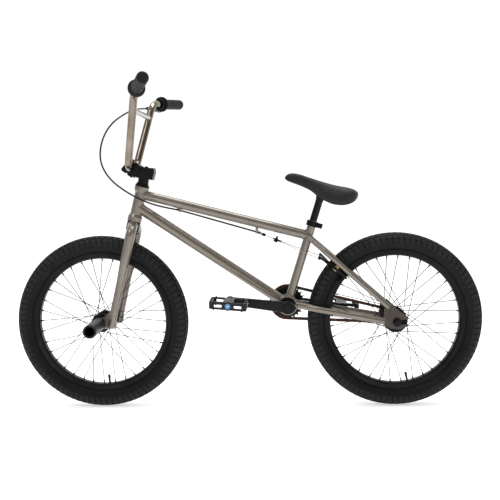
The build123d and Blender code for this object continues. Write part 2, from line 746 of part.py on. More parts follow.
stem_bolts = []
for y, z in stem_bolt_places:
    with BuildPart() as face_bolt:
        add(stem_bolt_rod(y, z, -15, 18, 2.5))
        add(stem_bolt_rod(y, z, 17, 21, 4.4))
    stem_bolts.append(face_bolt.part)
for height in (136, 151):
    with BuildPart() as pinch_bolt:
        add(rod(head_point(-22, height, -19), head_point(-22, height, 19), 2.5))
        add(rod(head_point(-22, height, -23), head_point(-22, height, -20), 4.4))
    stem_bolts.append(pinch_bolt.part)
with BuildPart() as top_cap:
    add(ring(HEAD, STEM_TOP, STEM_TOP + 3.5, 15.5, 0))
    add(ring(HEAD, STEM_TOP + 3, STEM_TOP + 6, 5, 0))
stem_bolts.append(top_cap.part)
save_group(stem_bolts, "stem_bolts")

# Handlebar ------------------------------------------------------------------------------------------
KNEE = Vector(-339.0, 63.6, 721.0)
SHOULDER = Vector(-298.0, 161.0, 925.0)
BAR_END = Vector(-239.9, 355.0, 940.0)
CROSSBAR_SHARE = 0.78


def other_side(point):
    """The same point on the other side of the bike."""
    return Vector(point.X, -point.Y, point.Z)


bar_corners = [other_side(BAR_END), other_side(SHOULDER), other_side(KNEE), KNEE, SHOULDER, BAR_END]
with BuildPart() as handlebar:
    add(swept(bar_corners, [50, 45, 45, 50], BAR_RADIUS))
    add(swept(bar_corners, [50, 45, 45, 50], BAR_BORE), mode=Mode.SUBTRACT)
save(handlebar.part, "handlebar")

crossbar_end = along(KNEE, SHOULDER, CROSSBAR_SHARE)
upright = rod(KNEE, SHOULDER, BAR_RADIUS)
with BuildPart() as crossbar:
    add(rod(other_side(crossbar_end), crossbar_end, CROSSBAR_RADIUS))
    add(rod(other_side(crossbar_end), crossbar_end, CROSSBAR_RADIUS - TUBE_WALL), mode=Mode.SUBTRACT)
    add(upright, mode=Mode.SUBTRACT)
    add(mirrored(upright), mode=Mode.SUBTRACT)
save(crossbar.part.solids().sort_by(SortBy.VOLUME)[-1], "crossbar")

GRIP_DIRECTION = (BAR_END - SHOULDER).normalized()
GRIP_START = along(SHOULDER, BAR_END, 0.33)
GRIP_LENGTH = (BAR_END - GRIP_START).length
GRIP = Plane(GRIP_START, z_dir=GRIP_DIRECTION)
GRIP_BORE = BAR_RADIUS + 0.03


def grip_outline():
    """Radius and length corners of a flanged, ribbed grip with a closed end."""
    corners = [(GRIP_BORE, -4), (24, -4), (24, 0), (16, 3)]
    for rib in range(15):
        start = 7 + rib * 8
        corners += [(16.2, start), (16.2, start + 5), (15.0, start + 5.6), (15.0, start + 7.4)]
    corners += [(16.2, 128), (16.2, 138), (13, 141), (0, 141)]
    corners += [(0, GRIP_LENGTH + 0.3), (GRIP_BORE, GRIP_LENGTH + 0.3)]
    return corners


with BuildPart() as grip_right:
    add(turned(GRIP, grip_outline()))
save(grip_right.part, "grip_right")

with BuildPart() as grip_left:
    add(mirrored(grip_right.part))
save(grip_left.part, "grip_left")

# Brake lever ----------------------------------------------------------------------------------------
lever_ahead = Vector(-1, 0, -0.45)
lever_ahead = (lever_ahead - GRIP_DIRECTION * lever_ahead.dot(GRIP_DIRECTION)).normalized()
LEVER = Plane(
    GRIP_START - GRIP_DIRECTION * 6, x_dir=GRIP_DIRECTION, z_dir=GRIP_DIRECTION.cross(lever_ahead)
)
LEVER_PIVOT = (-8.0, 32.0)


def lever_place(x, y, z=0.0):
    """A point given outwards along the grip, ahead of it, and above it."""
    return LEVER.from_local_coords((x, y, z))


with BuildPart() as lever_mount:
    add(rod(lever_place(-16, 0), lever_place(-1, 0), 16.5))
    add(
        plate(
            shifted(LEVER, -7),
            [(-16, 8), (-1, 8), (1, 26), (0, 38), (-26, 38), (-27, 25)],
            14,
        )
    )
    add(rod(lever_place(-27, 31), lever_place(-36, 31), 5))
    add(rod(lever_place(-20, 0), lever_place(4, 0), BAR_RADIUS + 0.03), mode=Mode.SUBTRACT)
    add(rod(lever_place(-20, 31), lever_place(-40, 31), HOUSING_RADIUS + 0.1), mode=Mode.SUBTRACT)
    add(
        plate(shifted(LEVER, -4.4), [(-19, 20), (10, 20), (10, 45), (-19, 45)], 8.8),
        mode=Mode.SUBTRACT,
    )
with BuildPart() as lever_pin:
    add(rod(lever_place(*LEVER_PIVOT, -4.4), lever_place(*LEVER_PIVOT, 4.4), 2.5))
with BuildPart() as barrel_adjuster:
    add(rod(lever_place(-36.2, 31), lever_place(-43, 31), 5.5))
    add(rod(lever_place(-36, 31), lever_place(-44, 31), HOUSING_RADIUS + 0.1), mode=Mode.SUBTRACT)
save_group([lever_mount.part, lever_pin.part, barrel_adjuster.part], "lever_mount")

with BuildPart() as lever_blade:
    add(strap(shifted(LEVER, -4), LEVER_PIVOT, (10, 41), 6.5, 6, 8))
    add(strap(shifted(LEVER, -4), (10, 41), (45, 42), 6, 4.5, 8))
    add(strap(shifted(LEVER, -4), (45, 42), (82, 46), 4.5, 6, 8))
    add(
        rod(lever_place(*LEVER_PIVOT, -9), lever_place(*LEVER_PIVOT, 9), 2.5 + RUNNING_GAP),
        mode=Mode.SUBTRACT,
    )
save(lever_blade.part, "lever_blade")

# Front brake cable run: the housing from the lever to the top tube's first guide -----------------------
cable_route = [
    lever_place(-42.5, 31),
    Vector(-333, 150, 910.5),
    Vector(-345, 108, 904),
    Vector(-358, 70, 894),
    Vector(-375, 34, 878),
    Vector(-397, 6, 856),
    Vector(-418, -8, 822),
    Vector(-430, -15, 782),
    Vector(-430, -19, 742),
    Vector(-415, -23, 707),
    Vector(-389, -26, 677),
    Vector(-355, -27, 652),
    Vector(-317, -26.5, 630),
    Vector(-280, -22, 614),
    Vector(-240, -9, 602),
    Vector(*CABLE_ENTRY),
]


def arc_radii(points):
    """For each corner of a route, the largest arc that leaves a tenth of its runs straight."""
    radii = []
    for before, corner, after in zip(points, points[1:], points[2:]):
        turn = radians((corner - before).get_angle(after - corner))
        shorter = min((corner - before).length, (after - corner).length)
        radii.append(0.45 * shorter / tan(turn / 2))
    return radii


cable_radii = arc_radii(cable_route)
print("cable radii", [round(radius) for radius in cable_radii])
with BuildPart() as front_brake_housing:
    add(swept(cable_route, cable_radii, HOUSING_RADIUS))
housing_length = front_brake_housing.part.volume / (pi * HOUSING_RADIUS**2)
print("front housing length", round(housing_length))
save(front_brake_housing.part, "front_brake_housing")

# Front axle and peg ---------------------------------------------------------------------------------
PEG_RADIUS = 19.5
PEG_WALL = 5.0
PEG_INNER = FORK_DROPOUT_INNER + DROPOUT_THICKNESS
PEG_OUTER = 180.0
peg_floor = PEG_INNER + 10
peg_base = Plane(FRONT_AXLE, x_dir=(1, 0, 0), z_dir=(0, -1, 0))
with BuildPart() as front_peg:
    add(
        turned(
            peg_base,
            [
                (FRONT_AXLE_RADIUS + 0.03, PEG_INNER), (PEG_RADIUS - 1.5, PEG_INNER),
                (PEG_RADIUS, PEG_INNER + 1.5), (PEG_RADIUS, PEG_OUTER - 1.5),
                (PEG_RADIUS - 1.5, PEG_OUTER), (PEG_RADIUS - PEG_WALL, PEG_OUTER),
                (PEG_RADIUS - PEG_WALL, peg_floor), (FRONT_AXLE_RADIUS + 0.03, peg_floor),
            ],
        )
    )
save(front_peg.part, "front_peg")

front_nut_face = FORK_DROPOUT_INNER + DROPOUT_THICKNESS + 12
front_axle = turned(
    across(FRONT_AXLE),
    axle_outline(
        FRONT_AXLE_RADIUS,
        -peg_floor - 12,
        front_nut_face + AXLE_REACH,
        (front_nut_face + GROOVE_GAP,),
    ),
)
save(front_axle, "front_axle")

front_hardware = axle_hardware(FRONT_AXLE, FRONT_AXLE_RADIUS, FORK_DROPOUT_INNER, 11, 15, (RIGHT,))
front_hardware.append(hex_nut(peg_base, peg_floor, peg_floor + 9, 15, FRONT_AXLE_RADIUS + 0.03))
save_group(front_hardware, "front_axle_nuts")

# Wheels ---------------------------------------------------------------------------------------------
WHEEL = across((0, 0, 0))
WHEEL_AXIS = Axis((0, 0, 0), (0, -1, 0))
RIM_INNER = 191.5
SPOKE_COUNT = 36
SPOKE_RADIUS = 1.0
SPOKE_CROSS = 60
FLANGE_HALF = 1.6
FRONT_VALVE_ANGLE = -85.7
REAR_VALVE_ANGLE = -78.5
HUB_CENTRE = (0, 0, 0)

rim_outline = [
    (RIM_INNER, -9), (RIM_INNER, 9), (196, 15), (209, 16), (209, 14.2), (197.5, 13.2), (194.2, 8),
    (194.2, -8), (197.5, -13.2), (209, -14.2), (209, -16), (196, -15),
]


def rim(valve_angle):
    """A single-wall rim with its spoke holes and valve hole."""
    spoke_holes = []
    for k in range(SPOKE_COUNT):
        angle = radians(valve_angle + 5 + k * 360 / SPOKE_COUNT)
        spoke_holes.append(
            rod(wheel_point(HUB_CENTRE, 188, angle), wheel_point(HUB_CENTRE, 197, angle), 3.2)
        )
    angle = radians(valve_angle)
    valve_hole = rod(wheel_point(HUB_CENTRE, 188, angle), wheel_point(HUB_CENTRE, 198, angle), 4.3)
    with BuildPart() as piece:
        add(turned(WHEEL, rim_outline))
        add(spoke_holes, mode=Mode.SUBTRACT)
        add(valve_hole, mode=Mode.SUBTRACT)
    return piece.part


def hub(outline, flanges, flange_circle, valve_angle):
    """A hub shell with the spoke holes of its two flanges."""
    holes = []
    for flange_number, flange in enumerate(flanges):
        for k in range(SPOKE_COUNT // 2):
            angle = radians(valve_angle + 5 + 10 * flange_number + 20 * k)
            start = wheel_point(HUB_CENTRE, flange_circle, angle, flange - 3)
            end = wheel_point(HUB_CENTRE, flange_circle, angle, flange + 3)
            holes.append(rod(start, end, 1.45))
    with BuildPart() as piece:
        add(turned(WHEEL, outline))
        add(holes, mode=Mode.SUBTRACT)
    return piece.part


def spoke(hub_angle, rim_angle, flange, face, flange_circle):
    """One spoke: its head, the bend through the flange, the straight run and the nipple."""
    head = wheel_point(HUB_CENTRE, flange_circle, hub_angle, flange - face * (FLANGE_HALF + 0.6))
    bend = wheel_point(HUB_CENTRE, flange_circle, hub_angle, flange + face * (FLANGE_HALF + 2.0))
    tip = wheel_point(HUB_CENTRE, 195.8, rim_angle)
    nipple_start = along(tip, bend, 12.5 / (tip - bend).length)
    head_top = head - Vector(0, face * 1.0, 0)
    with BuildPart() as piece:
        add(swept([head, bend, nipple_start], [1.8], SPOKE_RADIUS))
        add(rod(head_top, head, 1.9))
        add(rod(nipple_start, tip, 2.0))
    return piece.part


def spokes(flanges, flange_circle, valve_angle):
    """All the spokes of a wheel, crossing three others on each side."""
    pieces = []
    for flange_number, flange in enumerate(flanges):
        first = valve_angle + 5 + 10 * flange_number
        outward = LEFT if flange < 0 else RIGHT
        trailing = spoke(radians(first), radians(first + SPOKE_CROSS), flange, outward, flange_circle)
        leading = spoke(
            radians(first + 20), radians(first + 20 - SPOKE_CROSS), flange, -outward, flange_circle
        )
        for k in range(SPOKE_COUNT // 4):
            pieces.append(trailing.rotate(WHEEL_AXIS, 40 * k))
            pieces.append(leading.rotate(WHEEL_AXIS, 40 * k))
    return pieces


def tyre():
    """A hollow tyre: beads inside the rim walls, round sidewalls and a rounded tread."""
    outer_half = [(212, 17.5), (221, 24), (234, 28), (247, 26), (255, 17.5), (260, 0)]
    inner_half = [(211, 12.5), (221, 19.5), (234, 24.5), (246, 21.5), (252, 12.5), (255, 0)]
    outer = outer_half + [(r, -y) for r, y in reversed(outer_half[:-1])]
    inner = inner_half + [(r, -y) for r, y in reversed(inner_half[:-1])]
    side = Plane((0, 0, 0), x_dir=(1, 0, 0), z_dir=(0, 0, 1))
    with BuildPart() as piece:
        with BuildSketch(side):
            with BuildLine():
                Polyline((211, 12.5), (200, 10.5), (200, 12.9), (209.5, 13.9), (212, 17.5))
                Spline(*outer)
                Polyline((212, -17.5), (209.5, -13.9), (200, -12.9), (200, -10.5), (211, -12.5))
                Spline(*reversed(inner))
            make_face()
        revolve(axis=Axis.Y)
    return piece.part


TUBE_CENTRE = 229.0
TUBE_SECTION = 16.5


def torus(section_radius):
    """A ring of round section about the wheel's axis."""
    with BuildPart() as piece:
        with BuildSketch(Plane.XY):
            with Locations((TUBE_CENTRE, 0)):
                Circle(section_radius)
        revolve(axis=Axis.Y)
    return piece.part


def inner_tube(valve_angle):
    """An inner tube whose valve stem passes through the rim and opens into the tube."""
    stem_root = wheel_point(HUB_CENTRE, TUBE_CENTRE - TUBE_SECTION + 1, 0)
    stem_tip = wheel_point(HUB_CENTRE, 166, 0)
    cap_start = wheel_point(HUB_CENTRE, 176, 0)
    bore_start = wheel_point(HUB_CENTRE, 160, 0)
    bore_end = wheel_point(HUB_CENTRE, TUBE_CENTRE - TUBE_SECTION + 3, 0)
    with BuildPart() as piece:
        add(torus(TUBE_SECTION))
        add(rod(cap_start, stem_root, 3.2))
        add(rod(stem_tip, cap_start, 4.0))
        add(torus(TUBE_SECTION - 1.4), mode=Mode.SUBTRACT)
        add(rod(bore_start, bore_end, 1.3), mode=Mode.SUBTRACT)
    return piece.part.rotate(WHEEL_AXIS, valve_angle)


front_hub_outline = [
    (9, -38), (14.05, -38), (14.05, -46), (16.5, -46), (17.5, -33.6), (28.6, -33.6),
    (28.6, -30.4), (18, -30.4), (15, -22), (15, 22), (18, 30.4), (28.6, 30.4), (28.6, 33.6), (17.5, 33.6),
    (16.5, 46), (14.05, 46), (14.05, 38), (9, 38),
]
rear_hub_outline = [
    (11, -42), (16.05, -42), (16.05, -51.5), (19, -51.5), (20, -33.6), (35, -33.6), (35, -30.4),
    (22, -30.4), (18, -20), (18, 15), (22, 25.4), (35, 25.4), (35, 28.6), (20, 28.6),
    (20, 31.5), (16.05, 31.5), (16.05, 23), (11, 23),
]
front_bearings = [
    ring(WHEEL, low, low + 7.5, 14.0, FRONT_AXLE_RADIUS + RUNNING_GAP) for low in (-45.8, 38.3)
]
rear_bearings = [
    ring(WHEEL, low, low + 8, 16.0, REAR_AXLE_RADIUS + RUNNING_GAP) for low in (-51, 23.2)
]
wheels = {
    "front": (FRONT_AXLE, FRONT_VALVE_ANGLE, front_hub_outline, (-32, 32), 26.2, front_bearings),
    "rear": (REAR_AXLE, REAR_VALVE_ANGLE, rear_hub_outline, (-32, 27), 32.6, rear_bearings),
}
for wheel, (axle, valve_angle, outline, flanges, flange_circle, bearings) in wheels.items():
    place = Location(axle)
    save_group(
        [piece.moved(place) for piece in [hub(outline, flanges, flange_circle, valve_angle)] + bearings],
        f"{wheel}_hub",
    )
    save_group(
        [piece.moved(place) for piece in spokes(flanges, flange_circle, valve_angle)],
        f"{wheel}_spokes",
    )
    save(rim(valve_angle).moved(place), f"{wheel}_rim")
    save(tyre().moved(place), f"{wheel}_tyre")
    save(inner_tube(valve_angle).moved(place), f"{wheel}_inner_tube")


# Chainwheel and cog ---------------------------------------------------------------------------------
def toothed_disc(centre, teeth, pitch_radius, tip_radius, first_angle, bore):
    """A flat chain wheel with round gullets, one of them at the first angle."""
    face = Plane(centre, x_dir=CHAIN_LINE_DIRECTION, z_dir=(0, 1, 0))
    with BuildPart() as piece:
        with BuildSketch(shifted(face, CHAINLINE - TOOTH_THICKNESS / 2)):
            Circle(tip_radius)
            with PolarLocations(pitch_radius, teeth, start_angle=first_angle):
                Circle(GULLET_RADIUS, mode=Mode.SUBTRACT)
                Polygon(
                    (0, -GULLET_RADIUS), (TOOTH_FLARE, -0.58 * PITCH),
                    (TOOTH_FLARE, 0.58 * PITCH), (0, GULLET_RADIUS),
                    align=None,
                    mode=Mode.SUBTRACT,
                )
            Circle(bore, mode=Mode.SUBTRACT)
        extrude(amount=TOOTH_THICKNESS)
    return piece.part


sprocket_face = Plane(BB, x_dir=CHAIN_LINE_DIRECTION, z_dir=(0, 1, 0))
SPROCKET_BORE = SPINDLE_RADIUS + 0.03
with BuildPart() as sprocket:
    add(toothed_disc(BB, SPROCKET_TEETH, SPROCKET_PITCH_RADIUS, 54.2, 180, SPROCKET_BORE))
    add(ring(sprocket_face, CHAINLINE - 2.4, CHAINLINE + 2.4, 44.5, SPROCKET_BORE))
    add(ring(sprocket_face, CHAINLINE - 7, ARM_INNER - 0.6, 17, SPROCKET_BORE))
    with BuildSketch(shifted(sprocket_face, CHAINLINE - 5)):
        with PolarLocations(0, 5, start_angle=90):
            with BuildLine():
                Polyline((21, -9), (39, -19), (43, 0), (39, 19), (21, 9), close=True)
            make_face()
    extrude(amount=10, mode=Mode.SUBTRACT)
save(sprocket.part, "sprocket")

cog_face = across(REAR_AXLE)
COG_BORE = REAR_AXLE_RADIUS + RUNNING_GAP
with BuildPart() as rear_cog:
    add(toothed_disc(REAR_AXLE, COG_TEETH, COG_PITCH_RADIUS, 21.8, 0, COG_BORE))
    add(ring(cog_face, 32, 51.5, 12.3, COG_BORE))
save(rear_cog.part, "rear_cog")

# Cranks ---------------------------------------------------------------------------------------------
PEDAL_PIN_END = 170.0
CRANK_ANGLE = radians(180 - CRANK_RISE)
ARM_OUTER = ARM_INNER + ARM_THICKNESS
PEDAL_BORE = PEDAL_PIN_RADIUS + RUNNING_GAP
crank_sides = {"left": (LEFT, CRANK_ANGLE), "right": (RIGHT, CRANK_ANGLE + pi)}
pedal_centres = {
    name: wheel_point(BB, CRANK_LENGTH, angle) for name, (side, angle) in crank_sides.items()
}

SPINDLE_END = ARM_OUTER + 2
with BuildPart() as crank_spindle:
    add(rod((BB_X, -SPINDLE_END, BB_HEIGHT), (BB_X, SPINDLE_END, BB_HEIGHT), SPINDLE_RADIUS))
spindle_caps = []
for side in SIDES.values():
    cap_inner = (BB_X, side * (SPINDLE_END + 0.2), BB_HEIGHT)
    cap_outer = (BB_X, side * (SPINDLE_END + 4), BB_HEIGHT)
    spindle_caps.append(rod(cap_inner, cap_outer, 13, 11))
spindle_spacers = [
    ring(across(BB), low, high, 14, SPINDLE_RADIUS + 0.03)
    for low, high in ((0.6 - ARM_INNER, -SHELL_HALF_WIDTH - 0.3), (SHELL_HALF_WIDTH + 0.3, CHAINLINE - 7.2))
]
save_group([crank_spindle.part] + spindle_caps + spindle_spacers, "crank_spindle")

for name, (side, angle) in crank_sides.items():
    inner_face = Plane((0, side * ARM_INNER, 0), x_dir=(1, 0, 0), z_dir=(0, -1, 0))
    if side == RIGHT:
        inner_face = shifted(inner_face, -ARM_THICKNESS)
    boss = (BB_X, BB_HEIGHT)
    pedal_eye = (pedal_centres[name].X, pedal_centres[name].Z)
    outward = Plane(BB, x_dir=(1, 0, 0), z_dir=(0, side, 0))
    eye_outward = Plane(pedal_centres[name], x_dir=(1, 0, 0), z_dir=(0, side, 0))
    with BuildPart() as crank_arm:
        add(strap(inner_face, boss, pedal_eye, 16.5, 12, ARM_THICKNESS))
        fillet(crank_arm.edges().filter_by(GeomType.LINE).filter_by(Axis.Y, reverse=True), 4)
        add(ring(outward, ARM_INNER - 0.4, ARM_OUTER + 2, 19, 0))
        add(ring(eye_outward, ARM_INNER, ARM_OUTER + 1, 14, 0))
        add(ring(outward, 0, 100, SPINDLE_RADIUS + 0.03, 0), mode=Mode.SUBTRACT)
        add(ring(eye_outward, 0, 100, 7.05, 0), mode=Mode.SUBTRACT)
    save(crank_arm.part, f"crank_arm_{name}")

pedal_spindles = []
for name, (side, angle) in crank_sides.items():
    outward = Plane(pedal_centres[name], x_dir=(1, 0, 0), z_dir=(0, side, 0))
    outline = [
        (0, ARM_INNER + 1), (7, ARM_INNER + 1), (7, ARM_OUTER + 1.2), (8.5, ARM_OUTER + 1.2),
        (8.5, ARM_OUTER + 4.5), (PEDAL_PIN_RADIUS, ARM_OUTER + 4.5),
        (PEDAL_PIN_RADIUS, PEDAL_PIN_END), (0, PEDAL_PIN_END),
    ]
    pedal_spindles.append(turned(outward, outline))
save_group(pedal_spindles, "pedal_spindles")

# Pedals ---------------------------------------------------------------------------------------------
PEDAL_LENGTH = 106.0
PEDAL_INNER = ARM_OUTER + 5.5
PEDAL_WIDTH = 94.0
PEDAL_HEIGHT = 22.0
PEDAL_TILT = -5.0
pedal_middle = PEDAL_INNER + PEDAL_WIDTH / 2
pedal_outer = PEDAL_INNER + PEDAL_WIDTH
with BuildPart() as pedal_cage:
    add(block(Plane((0, pedal_middle, 0)), (PEDAL_LENGTH, PEDAL_WIDTH, PEDAL_HEIGHT), 12))
    for end in (-1, 1):
        add(
            block(Plane((end * 30, pedal_middle, 0)), (31, PEDAL_WIDTH - 16, 40), 6),
            mode=Mode.SUBTRACT,
        )
        add(
            block(across((end * 29, pedal_middle, 0)), (24, 11, 2 * PEDAL_WIDTH), 3),
            mode=Mode.SUBTRACT,
        )
        add(block(Plane((end * 53, pedal_middle, 0)), (4, 52, 11)), mode=Mode.SUBTRACT)
        for y in (PEDAL_INNER + 4, pedal_middle - 18, pedal_middle + 18, pedal_outer - 4):
            x = end * (40 if y in (PEDAL_INNER + 4, pedal_outer - 4) else 49)
            add(rod((x, y, -PEDAL_HEIGHT / 2 - 3), (x, y, PEDAL_HEIGHT / 2 + 3), 1.8))
    add(rod((0, PEDAL_INNER, 0), (0, pedal_outer, 0), 12.5))
    add(rod((0, 0, 0), (0, PEDAL_PIN_END + 2, 0), PEDAL_BORE), mode=Mode.SUBTRACT)
pedal_reflectors = [
    block(Plane((end * 53.2, pedal_middle, 0)), (4, 51, 10.4)) for end in (-1, 1)
]
pedal_cap = ring(across((0, 0, 0)), pedal_outer, pedal_outer + 3, 8, 0)

for name, (side, angle) in crank_sides.items():
    place = Location(pedal_centres[name], (0, -PEDAL_TILT, 0))
    pieces = [pedal_cage.part] + [*pedal_reflectors, pedal_cap]
    if side == LEFT:
        pieces = [mirrored(piece) for piece in pieces]
    placed = [piece.moved(place) for piece in pieces]
    save(placed[0], f"pedal_{name}")
    save_group(placed[1:3], f"pedal_reflectors_{name}")
    save(placed[3], f"pedal_cap_{name}")

# Seat -----------------------------------------------------------------------------------------------
PIVOT_HEIGHT = 334.0
HEAD_DRUM_RADIUS = 12.5
PIVOT = seat_point(PIVOT_HEIGHT)
pivot_left = seat_point(PIVOT_HEIGHT, 0, -12)
pivot_right = seat_point(PIVOT_HEIGHT, 0, 12)
with BuildPart() as seat_post:
    add(rod(seat_point(150), seat_point(PIVOT_HEIGHT - 12), POST_RADIUS))
    add(rod(seat_point(PIVOT_HEIGHT - 14), seat_point(PIVOT_HEIGHT - 2), POST_RADIUS, HEAD_DRUM_RADIUS))
    add(rod(pivot_left, pivot_right, HEAD_DRUM_RADIUS))
    add(rod(seat_point(149), seat_point(PIVOT_HEIGHT - 18), POST_RADIUS - 1.8), mode=Mode.SUBTRACT)
    add(block(seat_frame(PIVOT_HEIGHT + 4), (14, 9, 22)), mode=Mode.SUBTRACT)
save(seat_post.part, "seat_post")

SADDLE_SLOPE = radians(15.8)
SADDLE = Plane(
    PIVOT, x_dir=(cos(SADDLE_SLOPE), 0, -sin(SADDLE_SLOPE)), z_dir=(sin(SADDLE_SLOPE), 0, cos(SADDLE_SLOPE))
)
# Cover sections from the nose back: place, half width, top height, bottom height.
saddle_sections = [
    (-115, 8, 35, 25), (-103, 18, 47, 21), (-75, 22, 50.5, 19), (-35, 27, 48, 12), (0, 38, 46.5, -4),
    (35, 55, 46.5, -11), (65, 65, 49, -7), (88, 62, 49.5, 6), (101, 46, 43, 22),
]


def saddle_shape(sections):
    """A smooth body through rounded sections along the saddle."""
    with BuildPart() as piece:
        for place, half_width, top, bottom in sections:
            middle = SADDLE.from_local_coords((place, 0, (top + bottom) / 2))
            with BuildSketch(Plane(middle, x_dir=(0, 1, 0), z_dir=SADDLE.x_dir)):
                corner = 0.46 * min(2 * half_width, top - bottom)
                RectangleRounded(2 * half_width, top - bottom, corner)
        loft()
    return piece.part


hollow_sections = [
    (place, half_width - 7, top - 15, bottom - 14)
    for place, half_width, top, bottom in saddle_sections[1:-1]
]
hollow_sections[0] = (-88, 9, 33, 4)
hollow_sections[-1] = (84, 50, 34, -8)
with BuildPart() as saddle_cover:
    add(saddle_shape(saddle_sections))
    add(saddle_shape(hollow_sections), mode=Mode.SUBTRACT)
save(saddle_cover.part.solids().sort_by(SortBy.VOLUME)[-1], "saddle_cover")

saddle_hollow = saddle_shape(hollow_sections)
base_plane = Plane(SADDLE.from_local_coords((0, 0, 26)), x_dir=SADDLE.x_dir, z_dir=SADDLE.z_dir)
base_outline = [(-84, 10), (-30, 17), (10, 28), (45, 44), (78, 44), (78, -44), (45, -44), (10, -28),
                (-30, -17), (-84, -10)]
with BuildPart() as saddle_base:
    add(plate(base_plane, base_outline, 4))
    add(block(seat_frame(PIVOT_HEIGHT + 15), (30, 28, 26), 4))
    add(saddle_hollow, mode=Mode.INTERSECT)
    add(ring(across(PIVOT), -16, 16, HEAD_DRUM_RADIUS + RUNNING_GAP, 0), mode=Mode.SUBTRACT)
    add(rod(PIVOT, seat_point(PIVOT_HEIGHT + 60), 3.6), mode=Mode.SUBTRACT)

with BuildPart() as saddle_bolt:
    add(rod(seat_point(PIVOT_HEIGHT - 5), seat_point(PIVOT_HEIGHT + 30), 3.5))
saddle_bracket = saddle_base.part.solids().sort_by(SortBy.VOLUME)[-1]
save_group([saddle_bracket, saddle_bolt.part], "saddle_base")

# Rear brake -----------------------------------------------------------------------------------------
ARM_LEVEL = {"left": -8.0, "right": -15.2}
BRAKE_ARM_THICKNESS = 6.0
TIP = (24.0, 54.0)
WIRE_CLAMP = 3.6


def brake_arm(side, low):
    """One brake arm with its pad holder, its pad and the clamp for the straddle wire."""
    level = shifted(BRAKE, low)
    boss_place = (side * BOSS_OFFSET, 0)
    tip_place = (-side * TIP[0], TIP[1])
    pad_centre = Plane(brake_place(side * 24, -38, low + 3), x_dir=BRAKE.x_dir, z_dir=BRAKE.z_dir)
    with BuildPart() as arm:
        add(strap(level, boss_place, (side * 38, 33), 10, 6.5, BRAKE_ARM_THICKNESS))
        add(strap(level, (side * 38, 33), tip_place, 6.5, 5.5, BRAKE_ARM_THICKNESS))
        add(strap(level, boss_place, (side * 43, -38), 9, 7, BRAKE_ARM_THICKNESS))
        add(
            rod(
                brake_place(*boss_place, low - 1),
                brake_place(*boss_place, low + 8),
                BOSS_PIN_RADIUS + RUNNING_GAP,
            ),
            mode=Mode.SUBTRACT,
        )
    holder = rod(brake_place(side * 35, -38, low + 3), brake_place(side * 29.1, -38, low + 3), 3)
    pad = block(pad_centre, (10, 9, 46), 2)
    clamp = rod(brake_place(*tip_place, low - 0.1), brake_place(*tip_place, low - WIRE_CLAMP), 4.5)
    return [arm.part, pad, clamp, holder]


for name, side in SIDES.items():
    arm, pad, clamp, holder = brake_arm(side, ARM_LEVEL[name])
    with BuildPart() as holder_stub:
        add(holder)
        add(arm, mode=Mode.SUBTRACT)
    save_group([arm, pad, clamp, holder_stub.part.solids()[0]], f"brake_arm_{name}")

YOKE_CENTRE = Vector(88.5, 0, 501.8)
PULL = (Vector(*CABLE_STOP) - YOKE_CENTRE).normalized()
YOKE = Plane(YOKE_CENTRE, x_dir=(0, 1, 0), z_dir=Vector(0, 1, 0).cross(PULL))
with BuildPart() as brake_yoke:
    with BuildSketch(shifted(YOKE, -2)):
        with Locations((0, 7), (-8, -6), (8, -6)):
            Circle(3.5)
        make_hull()
    extrude(amount=4)
    add(rod(YOKE_CENTRE - YOKE.z_dir * 7, YOKE_CENTRE + YOKE.z_dir * 11, 6.2, 2.2))
    add(rod(YOKE_CENTRE, YOKE_CENTRE - PULL * 18, 3.2))
save(brake_yoke.part, "brake_yoke")

wire_pieces = [rod(along(CABLE_STOP, YOKE_CENTRE, 0.01), YOKE_CENTRE + PULL * 10.8, WIRE_RADIUS)]
for name, side in SIDES.items():
    corner = YOKE.from_local_coords((-side * 8, -6, 0))
    anchor = brake_place(-side * TIP[0], TIP[1], ARM_LEVEL[name] - WIRE_CLAMP / 2)
    span = (anchor - corner).length
    wire_start = along(corner, anchor, 4.5 / span)
    wire_end = along(corner, anchor, 1 - 5.6 / span)
    wire_pieces.append(rod(wire_start, wire_end, WIRE_RADIUS))
save_group(wire_pieces, "brake_wire")
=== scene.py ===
import math

import bmesh
import bpy
from mathutils import Matrix, Vector


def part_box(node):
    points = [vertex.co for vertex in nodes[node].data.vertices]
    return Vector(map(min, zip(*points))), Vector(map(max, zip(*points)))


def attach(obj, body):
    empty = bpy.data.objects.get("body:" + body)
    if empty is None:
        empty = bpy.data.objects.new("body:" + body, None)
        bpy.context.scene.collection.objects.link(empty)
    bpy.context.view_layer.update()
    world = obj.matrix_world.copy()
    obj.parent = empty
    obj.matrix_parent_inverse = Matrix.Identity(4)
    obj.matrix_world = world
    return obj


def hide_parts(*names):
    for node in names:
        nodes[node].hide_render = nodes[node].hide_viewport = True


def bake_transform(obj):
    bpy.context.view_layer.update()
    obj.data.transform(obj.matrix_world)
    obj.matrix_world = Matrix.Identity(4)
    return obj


# The visual model of the BMX bike, in metres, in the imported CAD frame: -X is the riding direction,
# -Y is the rider's left and +Z is up. Lengths below are in millimetres where they come from the CAD
# source, and are turned into metres by MM.

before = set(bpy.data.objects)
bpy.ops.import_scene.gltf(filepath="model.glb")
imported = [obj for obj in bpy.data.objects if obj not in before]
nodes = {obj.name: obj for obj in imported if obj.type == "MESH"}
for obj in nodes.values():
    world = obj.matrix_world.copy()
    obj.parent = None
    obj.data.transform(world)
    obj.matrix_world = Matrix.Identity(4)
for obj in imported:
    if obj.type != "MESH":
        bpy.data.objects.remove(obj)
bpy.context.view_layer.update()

MM = 0.001
scene = bpy.context.scene


# Camera ---------------------------------------------------------------------------------------------
CAMERA_PLACE = (0.1096, -2.390, 0.672)
CAMERA_YAW = math.radians(-2.39)
CAMERA_PITCH = math.radians(4.79)
CAMERA_ROLL = math.radians(-0.88)
FOCAL_SHARE = 801.2 / 500


